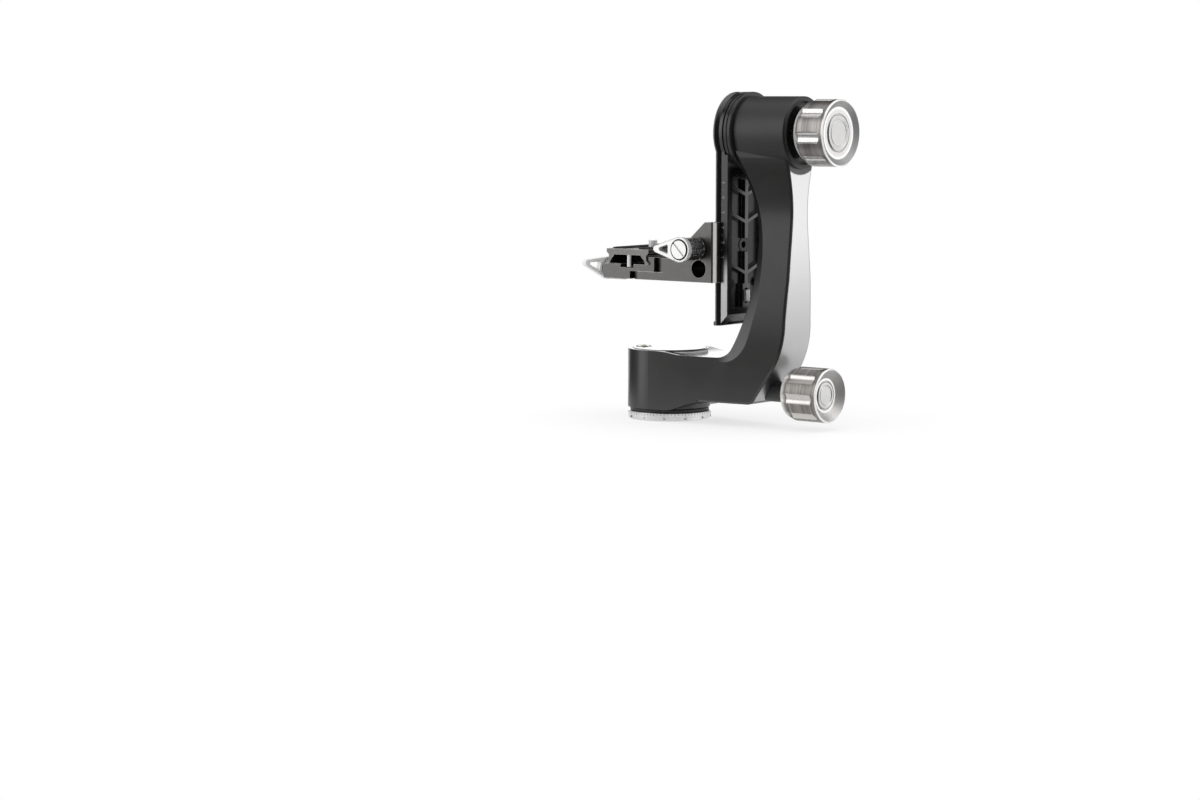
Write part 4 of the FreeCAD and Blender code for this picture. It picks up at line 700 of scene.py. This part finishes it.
def levelFinish():
    # the liquid of the spirit level under clear plastic
    look = levelLiquidLook
    material, tree, shader, coords = startMaterial("levelLiquid", middleOf("level_vial"), (0, 0, 0))
    distance = vectorNode(tree, "LENGTH", coords).outputs["Value"]
    fade = spread(tree, distance, look["fade"][0] * mm, look["fade"][1] * mm)
    feed(material, "Base Color", mixColour(tree, fade, look["middle"], look["edge"]))
    holdEven(shader, look, "Roughness", "Coat Weight")
    return material


def levelAirFinish():
    # the paler green seen through the bubble
    look = levelAirLook
    material, tree, shader, coords = startMaterial("levelAir")
    haze = noiseOf(tree, coords, Scale=look["haze"], Detail=look["detail"])
    feed(material, "Base Color", mixColour(tree, haze.outputs["Fac"], look["dark"], look["light"]))
    holdEven(shader, look, "Roughness", "Coat Weight")
    return material


markDarkLook = {
    "dark": (0.05, 0.05, 0.052), "light": (0.11, 0.11, 0.112), "edge": 0.5, "edgeAmount": 0.0,
    "edgeFrom": 0.1, "edgeRadius": 0.05, "fleckScale": 6000.0, "peelScale": 2600.0, "patchScale": 300.0,
    "rough": 0.5, "metal": 0.0, "bump": 0.002,
}
markGreyLook = {**markDarkLook, "dark": 0.30, "light": 0.42}
silverLook = {**stripLook, "edge": 0.9, "edgeAmount": 0.2}
paleSteelLook = {
    **leverLook, "dark": (0.78, 0.78, 0.775), "light": (0.84, 0.84, 0.835), "edge": 0.25,
    "edgeAmount": 0.15, "edgeRadius": 0.10, "metal": 0.25,
}
blastedSteelLook = {
    **leverLook, "dark": (0.76, 0.76, 0.755), "light": (0.84, 0.84, 0.835), "edge": 0.12,
    "edgeAmount": 0.4, "edgeRadius": 0.25, "rough": 0.38, "metal": 0.0,
}
plainSteelLook = {**leverLook, "dark": (0.50, 0.50, 0.505), "light": (0.62, 0.62, 0.625), "rough": 0.27}
upright = (Vector((0, 0, 0)), (0, 0, 0))
# each finish and the nodes that wear it; the small pieces take theirs from here too
finishes = {
    "arm": (armFinish(), ["arm", "hub_cap"]),
    "barrel": (grainyFinish("satinBlack", barrelLook), ["tilt_collar"]),
    "casting": (grainyFinish("castingBlack", castingLook), ["base_plate", "barrel_end_plate"]),
    "swing": (swingFinish(), ["swing_casting"]),
    "hookedBracket": (bracketFinish(), ["platform_bracket"]),
    "rail": (grainyFinish("railGrey", railLook), ["height_rail", "rail_stop"]),
    "bracket": (grainyFinish("bracketGrey", bracketLook), ["height_jaw", "qr_body", "qr_jaw"]),
    "plate": (grainyFinish("plateGrey", plateLook), ["quick_plate"]),
    "strip": (stripFinish(), ["arm_inlay"]),
    "silver": (grainyFinish("plainSilver", silverLook), ["level_cup"]),
    "lever": (grainyFinish("leverSilver", leverLook), ["height_lever"]),
    "paleSteel": (grainyFinish("paleSteel", paleSteelLook), ["camera_screws", "plate_pins"]),
    "blastedSteel": (grainyFinish("blastedSteel", blastedSteelLook), ["qr_lever"]),
    "blackSteel": (grainyFinish("blackenedSteel", blackSteelLook), ["rail_screws", "axle_screws"]),
    "plastic": (grainyFinish("mouldedBlack", plasticLook), ["pan_lock_boss", "pan_seal", "tilt_lock_pad"]),
    "rubber": (grainyFinish("padRubber", rubberLook), ["grip_pads"]),
    "steelPlain": (grainyFinish("plainSteel", plainSteelLook),
                   ["tripod_bush", "base_screws", "stop_screw", "height_guide_pins", "height_rod",
                    "qr_body_screws", "qr_guide_pins", "qr_rod", "spindle_nut"]),
    "ring": (turnedFinish("ringSilver", ringLook, *upright), ["scale_ring"]),
    "spindle": (turnedFinish("spindleSilver", spindleLook, *upright), ["pan_spindle"]),
    "axle": (turnedFinish("axleSilver", spindleLook, tiltAxis, eastward), ["tilt_axle", "needle_spacer"]),
    "bearingUp": (turnedFinish("bearingSteelUpright", bearingLook, *upright),
                  ["lower_inner_race", "lower_outer_race", "lower_balls", "upper_inner_race",
                   "upper_outer_race", "upper_balls"]),
    "bearingTilt": (turnedFinish("bearingSteelTilt", bearingLook, tiltAxis, eastward),
                    ["needle_cups", "needle_rollers"]),
    "tiltKnob": (knobFinish("tiltKnobSteel", knobLook, "tilt_knob", tiltAxis), ["tilt_knob"]),
    "tiltKnobCap": (turnedFinish("tiltKnobCap", knobCapLook, tiltAxis, eastward), ["tilt_knob_cap"]),
    "panKnob": (knobFinish("panKnobSteel", panKnobLook, "pan_knob", panLockAxis), ["pan_knob"]),
    "panKnobCap": (turnedFinish("panKnobCap", knobCapLook, panLockAxis, eastward), ["pan_knob_cap"]),
    "tiltRod": (turnedFinish("tiltRodSteel", steelLook, tiltAxis, eastward), ["tilt_lock_screw"]),
    "panRod": (turnedFinish("panRodSteel", steelLook, panLockAxis, eastward), ["pan_lock_rod"]),
    "brass": (turnedFinish("shoeBrass", brassLook, panLockAxis, eastward), ["pan_lock_shoe"]),
    "heightBarrel": (knurlFinish("heightBarrelBlack", knurlLook, middleOf("height_lever_disc"), southward),
                     ["height_lever_barrel"]),
    "qrBarrel": (knurlFinish("plateBarrelBlack", knurlLook, middleOf("qr_lever_disc"), eastward),
                 ["qr_lever_barrel"]),
    "heightDisc": (discFinish("heightDiscSilver", middleOf("height_lever_disc"), southward),
                   ["height_lever_disc"]),
    "qrDisc": (discFinish("plateDiscSilver", middleOf("qr_lever_disc"), eastward), ["qr_lever_disc"]),
    "level": (levelFinish(), ["level_vial"]),
    "levelAir": (levelAirFinish(), []),
    "markGrey": (grainyFinish("markGrey", markGreyLook), []),
    "markDark": (grainyFinish("markDark", markDarkLook), []),
}


def dressNodes():
    dressed = set()
    for material, names in finishes.values():
        for name in names:
            nodes[name].data.materials.clear()
            nodes[name].data.materials.append(material)
        dressed.update(names)
    print("nodes dressed", len(dressed), "bare", sorted(set(nodes) - dressed))


dressNodes()


# modelling helpers

def startPiece(name, primitive, **values):
    # a primitive at its size and place, alone in the selection
    bpy.ops.object.select_all(action="DESELECT")
    primitive(**values)
    piece = bpy.context.object
    piece.name = name
    bpy.ops.object.transform_apply(location=True, rotation=True, scale=True)
    return piece


def enterEdit(piece, kind="FACE"):
    # edit mode with everything selected
    bpy.context.view_layer.objects.active = piece
    bpy.ops.object.mode_set(mode="EDIT")
    bpy.ops.mesh.select_mode(type=kind)
    bpy.ops.mesh.select_all(action="SELECT")


def leaveEdit():
    bpy.ops.object.mode_set(mode="OBJECT")


def copyPiece(piece, name, matrix):
    copy = piece.copy()
    copy.data = piece.data.copy()
    copy.name = name
    copy.data.transform(matrix)
    bpy.context.scene.collection.objects.link(copy)
    return copy


def joinPieces(pieces, name):
    bpy.ops.object.select_all(action="DESELECT")
    for piece in pieces:
        piece.select_set(True)
    bpy.context.view_layer.objects.active = pieces[0]
    bpy.ops.object.join()
    pieces[0].name = name
    return pieces[0]


def finishPiece(piece, finish, body, bend=35):
    piece.data.materials.clear()
    piece.data.materials.append(finishes[finish][0])
    bpy.ops.object.select_all(action="DESELECT")
    piece.select_set(True)
    bpy.context.view_layer.objects.active = piece
    bpy.ops.object.shade_smooth_by_angle(angle=math.radians(bend))
    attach(piece, body)


sizePerHeight = 1.38     # a font's size over the height of its figures
strokeCorner = 0.3       # the corner eased at a stroke's end over its width
threadBase = 0.46        # half the foot of a thread's ridge over its pitch
threadSteps = 36


def makeText(words, height, thick):
    # lying in X and Y, facing +Z, its middle at the origin
    bpy.ops.object.select_all(action="DESELECT")
    bpy.ops.object.text_add(location=(0, 0, 0))
    text = bpy.context.object
    text.data.body = words
    text.data.size = height * sizePerHeight
    text.data.extrude = thick / 2
    text.data.align_x = "CENTER"
    text.data.align_y = "CENTER"
    text.data.resolution_u = 3
    bpy.ops.object.convert(target="MESH")
    return bpy.context.object


def startSlip(name, width, length, corner, segments, rise):
    # a slip lying in X and Y with its corners eased, still in edit mode with its raised face selected
    slip = startPiece(name, bpy.ops.mesh.primitive_plane_add, size=1.0)
    enterEdit(slip)
    bpy.ops.transform.resize(value=(width, length, 1))
    bpy.ops.mesh.bevel(offset=corner, segments=segments, affect="VERTICES")
    bpy.ops.mesh.extrude_region_move(TRANSFORM_OT_translate={"value": (0, 0, rise)})
    return slip


def makeStroke(width, length, thick):
    # a painted or cut line along Y
    stroke = startSlip("stroke", width, length, width * strokeCorner, 2, thick / 2)
    bpy.ops.mesh.select_all(action="SELECT")
    bpy.ops.transform.translate(value=(0, 0, -thick / 4))
    leaveEdit()
    return stroke


ringMarksLook = {
    "step": 5, "longStep": 15, "numberStep": 30, "width": 0.26 * mm, "short": 1.3 * mm, "long": 2.1 * mm,
    "number": 1.55 * mm, "thick": 0.16 * mm, "tickFrom": 5.5 * mm, "numberAt": 1.75 * mm,
}


def addRingMarks():
    # degrees round the scale ring, ticks at its upper edge and numbers under them
    look = ringMarksLook
    front = Matrix.Translation((0, -ringRadius, 0)) @ Matrix.Rotation(math.radians(90), 4, "X")
    marks = []
    short = makeStroke(look["width"], look["short"], look["thick"])
    long = makeStroke(look["width"], look["long"], look["thick"])
    for degrees in range(0, 360, look["step"]):
        stroke, length = (long, look["long"]) if degrees % look["longStep"] == 0 else (short, look["short"])
        turn = Matrix.Rotation(math.radians(degrees), 4, "Z")
        lift = Matrix.Translation((0, 0, look["tickFrom"] - length / 2))
        marks.append(copyPiece(stroke, "tick", turn @ lift @ front))
        if degrees % look["numberStep"] == 0:
            number = makeText(str(degrees), look["number"], look["thick"])
            number.data.transform(turn @ Matrix.Translation((0, 0, look["numberAt"])) @ front)
            marks.append(number)
    bpy.data.objects.remove(short)
    bpy.data.objects.remove(long)
    finishPiece(joinPieces(marks, "ringMarks"), "markDark", "base")
    print("ring marks cut", len(marks))


heightMarksLook = {
    "first": 6, "step": 10.5 * mm, "top": 172.5 * mm, "x": 66.0 * mm, "width": 0.24 * mm,
    "long": 1.3 * mm, "half": 0.7 * mm, "number": 1.7 * mm, "thick": 0.10 * mm, "numberAt": 0.75 * mm,
}


def addHeightMarks():
    # the pale grey height scale on the side of the swing casting
    look = heightMarksLook
    marks = []
    place = Matrix.Translation((look["x"], -swingSide, look["top"]))
    place = place @ Matrix.Rotation(math.radians(90), 4, "X")
    flat = Matrix.Rotation(math.radians(90), 4, "Z")
    for count in range(2 * look["first"] - 1):
        drop = Matrix.Translation((0, -count * look["step"] / 2, 0))
        length = look["long"] if count % 2 == 0 else look["half"]
        stroke = makeStroke(look["width"], length, look["thick"])
        stroke.data.transform(place @ drop @ Matrix.Translation((length / 2 - look["long"], 0, 0)) @ flat)
        marks.append(stroke)
        if count % 2 == 0:
            number = makeText(str(look["first"] - count // 2), look["number"], look["thick"])
            number.data.transform(place @ drop @ Matrix.Translation((look["numberAt"], 0, 0)))
            marks.append(number)
    finishPiece(joinPieces(marks, "heightMarks"), "markGrey", "swing")
    print("height marks painted", len(marks))


def makeThread(name, radius, depth, pitch, turns, place, inward=False):
    # one ridge of triangular section wound round the Z axis by a Screw modifier
    ridge = startPiece(name, bpy.ops.mesh.primitive_circle_add, vertices=3, radius=1.0, fill_type="NOTHING")
    half = pitch * threadBase
    tip = radius - depth if inward else radius + depth
    corners = [(radius, 0, -half), (radius, 0, half), (tip, 0, 0)]
    for vertex, corner in zip(ridge.data.vertices, corners):
        vertex.co = corner
    screw = ridge.modifiers.new("screw", "SCREW")
    screw.angle = math.radians(360)
    screw.screw_offset = pitch
    screw.iterations = turns
    screw.steps = screw.render_steps = threadSteps
    screw.axis = "Z"
    screw.use_merge_vertices = screw.use_smooth_shade = False
    bpy.context.view_layer.objects.active = ridge
    bpy.ops.object.modifier_apply(modifier=screw.name)
    enterEdit(ridge, "EDGE")
    bpy.ops.mesh.fill_holes(sides=3)
    bpy.ops.mesh.select_all(action="SELECT")
    bpy.ops.mesh.normals_make_consistent(inside=False)
    leaveEdit()
    ridge.data.transform(Matrix.Translation(place))
    return ridge


tripodThreadLook = {
    "radius": 4.7625 * mm, "depth": 0.86 * mm, "pitch": 1.5875 * mm, "turns": 6, "start": 1.6 * mm,
    "sink": 0.02 * mm,
}


def addTripodThread():
    look = tripodThreadLook
    ridge = makeThread("tripodThread", look["radius"] + look["sink"], look["depth"], look["pitch"],
                       look["turns"], (0, 0, look["start"]), inward=True)
    finishPiece(ridge, "steelPlain", "base", 20)
    print("tripod thread cut")


screwThreadLook = {
    "radius": 3.0 * mm, "depth": 0.16 * mm, "pitch": 1.27 * mm, "turns": 4, "end": 0.7 * mm,
}


def addCameraThreads():
    # a quarter inch thread on the free end of each screw that holds the camera's foot
    look = screwThreadLook
    low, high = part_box("camera_screws")
    head = (high.x - low.x) / 2
    start = high.z - look["end"] - look["turns"] * look["pitch"]
    ridges = []
    for y in (low.y + head, high.y - head):
        ridges.append(makeThread("screwThread", look["radius"], look["depth"], look["pitch"], look["turns"],
                                 ((low.x + high.x) / 2, y, start)))
    finishPiece(joinPieces(ridges, "cameraThreads"), "paleSteel", "plate", 20)
    print("camera threads cut", len(ridges))


padRibLook = {
    "padWidth": 10.5 * mm, "pitch": 2.25 * mm, "width": 1.1 * mm, "rise": 0.22 * mm, "margin": 0.7 * mm,
    "sink": 0.2 * mm, "corner": 0.45, "top": (0.94, 0.62, 1),
}


def addPadRibs():
    # low ribs across the two rubber strips that grip the camera foot
    look = padRibLook
    low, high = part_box("grip_pads")
    padWidth = look["padWidth"]
    ribs = []
    for left in (low.x, high.x - padWidth):
        length = padWidth - 2 * look["margin"]
        middle = left + padWidth / 2
        rib = startSlip("padRib", length, look["width"], look["width"] * look["corner"], 4,
                        look["sink"] + look["rise"])
        bpy.ops.transform.resize(value=look["top"])
        leaveEdit()
        start = low.y + look["margin"] + look["width"]
        rib.data.transform(Matrix.Translation((middle, start, high.z - look["sink"])))
        count = int((high.y - low.y - 2 * look["margin"] - look["width"]) / look["pitch"]) + 1
        for index in range(1, count):
            ribs.append(copyPiece(rib, "padRib", Matrix.Translation((0, index * look["pitch"], 0))))
        ribs.append(rib)
    finishPiece(joinPieces(ribs, "padRibs"), "rubber", "plate", 40)
    print("pad ribs moulded", len(ribs))


levelLook = {
    "bubble": 1.5 * mm, "flat": 0.35, "ring": 2.1 * mm, "line": 0.14 * mm, "lean": (0.4 * mm, -0.3 * mm),
    "sink": 0.25 * mm, "ringFlat": 0.4,
}


def addLevelParts():
    # the air bubble and the printed circle of the bull's-eye level
    look = levelLook
    low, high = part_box("level_vial")
    centre = (low + high) / 2
    bubble = startPiece("levelBubble", bpy.ops.mesh.primitive_uv_sphere_add, segments=40, ring_count=20,
                        radius=look["bubble"])
    enterEdit(bubble)
    bpy.ops.mesh.bisect(plane_co=(0, 0, 0), plane_no=(0, 0, 1), clear_inner=True, use_fill=True)
    bpy.ops.mesh.select_all(action="SELECT")
    bpy.ops.transform.resize(value=(1, 1, look["flat"]))
    leaveEdit()
    lean = look["lean"]
    place = (centre.x + lean[0], centre.y + lean[1], high.z - look["sink"])
    bubble.data.transform(Matrix.Translation(place))
    finishPiece(bubble, "levelAir", "arm", 60)
    circle = startPiece("levelCircle", bpy.ops.mesh.primitive_torus_add, major_segments=64,
                        minor_segments=10, major_radius=look["ring"], minor_radius=look["line"])
    enterEdit(circle)
    bpy.ops.transform.resize(value=(1, 1, look["ringFlat"]))
    leaveEdit()
    circle.data.transform(Matrix.Translation((centre.x, centre.y, high.z)))
    finishPiece(circle, "markDark", "arm", 60)
    print("level filled")


addRingMarks()
addHeightMarks()
addTripodThread()
addCameraThreads()
addPadRibs()
addLevelParts()


# camera, floor and light

cameraLook = {
    "place": (1.2528, -1.6280, 0.2352), "turn": 38.9957, "dip": 6.1904, "lens": 85.0, "sensor": 36.0,
}
floorLook = {
    "size": 40.0, "drop": 0.05 * mm, "colour": (0.92, 0.92, 0.92), "rough": 0.9, "shine": 0.1,
    "shadowPart": 0.30, "clearFrom": 0.12, "clearTo": 0.55, "height": 0.10,
}
worldLook = {"light": 0.80}
studioLook = {
    "gap": 0.05, "above": 0.70, "below": 0.80, "aboveFrom": 0.76, "belowFrom": 0.40, "steepSoft": 0.22,
    "topSoft": 0.1,
    "sides": [
        {"turn": -131.0, "half": 9.5, "soft": 8.0, "light": 1.25, "top": 0.55},
        {"turn": 42.0, "half": 20.0, "soft": 14.0, "light": 1.10, "top": 0.75},
        {"turn": 132.0, "half": 26.0, "soft": 8.0, "light": 1.45, "top": 0.22},
    ],
}


def addCamera():
    turn, dip = math.radians(cameraLook["turn"]), math.radians(cameraLook["dip"])
    forward = Vector((-math.sin(turn) * math.cos(dip), math.cos(turn) * math.cos(dip), -math.sin(dip)))
    data = bpy.data.cameras.new("camera")
    data.lens = cameraLook["lens"]
    data.sensor_width = cameraLook["sensor"]
    camera = bpy.data.objects.new("camera", data)
    camera.location = cameraLook["place"]
    camera.rotation_euler = forward.to_track_quat("-Z", "Y").to_euler()
    bpy.context.scene.collection.objects.link(camera)
    bpy.context.scene.camera = camera


def addStudioSides(tree, direction):
    # what a mirror finds: softboxes with unlit gaps between them, and a lit ceiling and floor
    look = studioLook
    x, y, z = partsOf(tree, direction)
    across = mathNode(tree, "MAXIMUM", lengthOf(tree, x, y), 0.0001)
    level = look["gap"]
    for box in look["sides"]:
        turn, half, soft = (math.radians(box[key]) for key in ("turn", "half", "soft"))
        along = plus(tree, times(tree, x, math.cos(turn)), times(tree, y, math.sin(turn)))
        facing = mathNode(tree, "DIVIDE", along, across)
        lit = spread(tree, facing, math.cos(half + soft), math.cos(half), 0.0, box["light"])
        lit = times(tree, lit, spread(tree, z, box["top"] + look["topSoft"], box["top"]))
        level = mathNode(tree, "MAXIMUM", lit, level)
    for sign, name in ((1, "above"), (-1, "below")):
        start = look[name + "From"]
        part = spread(tree, z, sign * start, sign * (start + look["steepSoft"]))
        rest = times(tree, mathNode(tree, "SUBTRACT", 1.0, part), level)
        level = plus(tree, rest, times(tree, part, look[name]))
    return level


def splitRays(tree):
    # what the camera sees straight, and what is seen in or through something
    rays = tree.nodes.new("ShaderNodeLightPath").outputs
    mirrored = mathNode(tree, "MAXIMUM", rays["Is Glossy Ray"], rays["Is Transmission Ray"])
    return rays["Is Camera Ray"], mirrored


def addFloor():
    # white to the eye with a soft shadow near the object, and the studio's lower half to a mirror
    look = floorLook
    bpy.ops.mesh.primitive_plane_add(size=look["size"], location=(0, 0, cadBox[0].z - look["drop"]))
    floor = bpy.context.object
    floor.name = "floor"
    material, tree, shader, coords = startMaterial("floorPale")
    shader.inputs["Base Color"].default_value = (*look["colour"], 1)
    holdEven(shader, look, "Roughness", "Specular IOR Level")
    straight, mirrored = splitRays(tree)
    distance = vectorNode(tree, "LENGTH", coords).outputs["Value"]
    clear = spread(tree, distance, look["clearFrom"], look["clearTo"], 1 - look["shadowPart"], 1.0)
    down = vectorNode(tree, "ADD", coords)
    down.inputs[1].default_value = (0, 0, -look["height"])
    aim = vectorNode(tree, "NORMALIZE", down.outputs[0])
    sides = addStudioSides(tree, aim.outputs[0])
    white = addNode(tree, "ShaderNodeEmission")
    plain = mathNode(tree, "SUBTRACT", 1.0, mirrored)
    tree.links.new(plus(tree, times(tree, mirrored, sides), plain), white.inputs["Strength"])
    seen = times(tree, straight, clear)
    mix = tree.nodes.new("ShaderNodeMixShader")
    tree.links.new(mathNode(tree, "MAXIMUM", seen, mirrored), mix.inputs[0])
    tree.links.new(shader.outputs[0], mix.inputs[1])
    tree.links.new(white.outputs[0], mix.inputs[2])
    tree.links.new(mix.outputs[0], tree.nodes["Material Output"].inputs["Surface"])
    floor.data.materials.append(material)


def addWorld():
    # white all round for what is seen, the studio's lit and unlit sides for what is mirrored
    world = bpy.data.worlds.new("studio")
    bpy.context.scene.world = world
    world.use_nodes = True
    tree = world.node_tree
    background = tree.nodes["Background"]
    background.inputs["Color"].default_value = (1, 1, 1, 1)
    sides = addStudioSides(tree, tree.nodes.new("ShaderNodeTexCoord").outputs["Generated"])
    straight, mirrored = splitRays(tree)
    plain = times(tree, mathNode(tree, "SUBTRACT", 1.0, mirrored), worldLook["light"])
    strength = plus(tree, times(tree, mirrored, sides), plain)
    strength = mathNode(tree, "MAXIMUM", strength, straight)
    tree.links.new(strength, background.inputs["Strength"])


def addLamp(name, place, target, size, power):
    data = bpy.data.lights.new(name, "AREA")
    data.shape = "RECTANGLE"
    data.size, data.size_y = size
    data.energy = power
    lamp = bpy.data.objects.new(name, data)
    lamp.location = place
    lamp.rotation_euler = (Vector(target) - Vector(place)).to_track_quat("-Z", "Y").to_euler()
    bpy.context.scene.collection.objects.link(lamp)


lampAim = (0.03, 0, 0.12)
lampLook = {
    "leftSoftbox": {"place": (-1.1, -1.0, 0.70), "size": (2.6, 1.3), "power": 7.5},
    "rightSoftbox": {"place": (1.5, 0.45, 0.55), "size": (1.1, 1.6), "power": 6.5},
    "topSoftbox": {"place": (0.1, -0.1, 1.5), "size": (2.2, 2.2), "power": 10.0},
}

addCamera()
addFloor()
addWorld()
for name, look in lampLook.items():
    addLamp(name, look["place"], lampAim, look["size"], look["power"])
bpy.context.scene.view_settings.view_transform = "Standard"
print("camera, floor and light set")
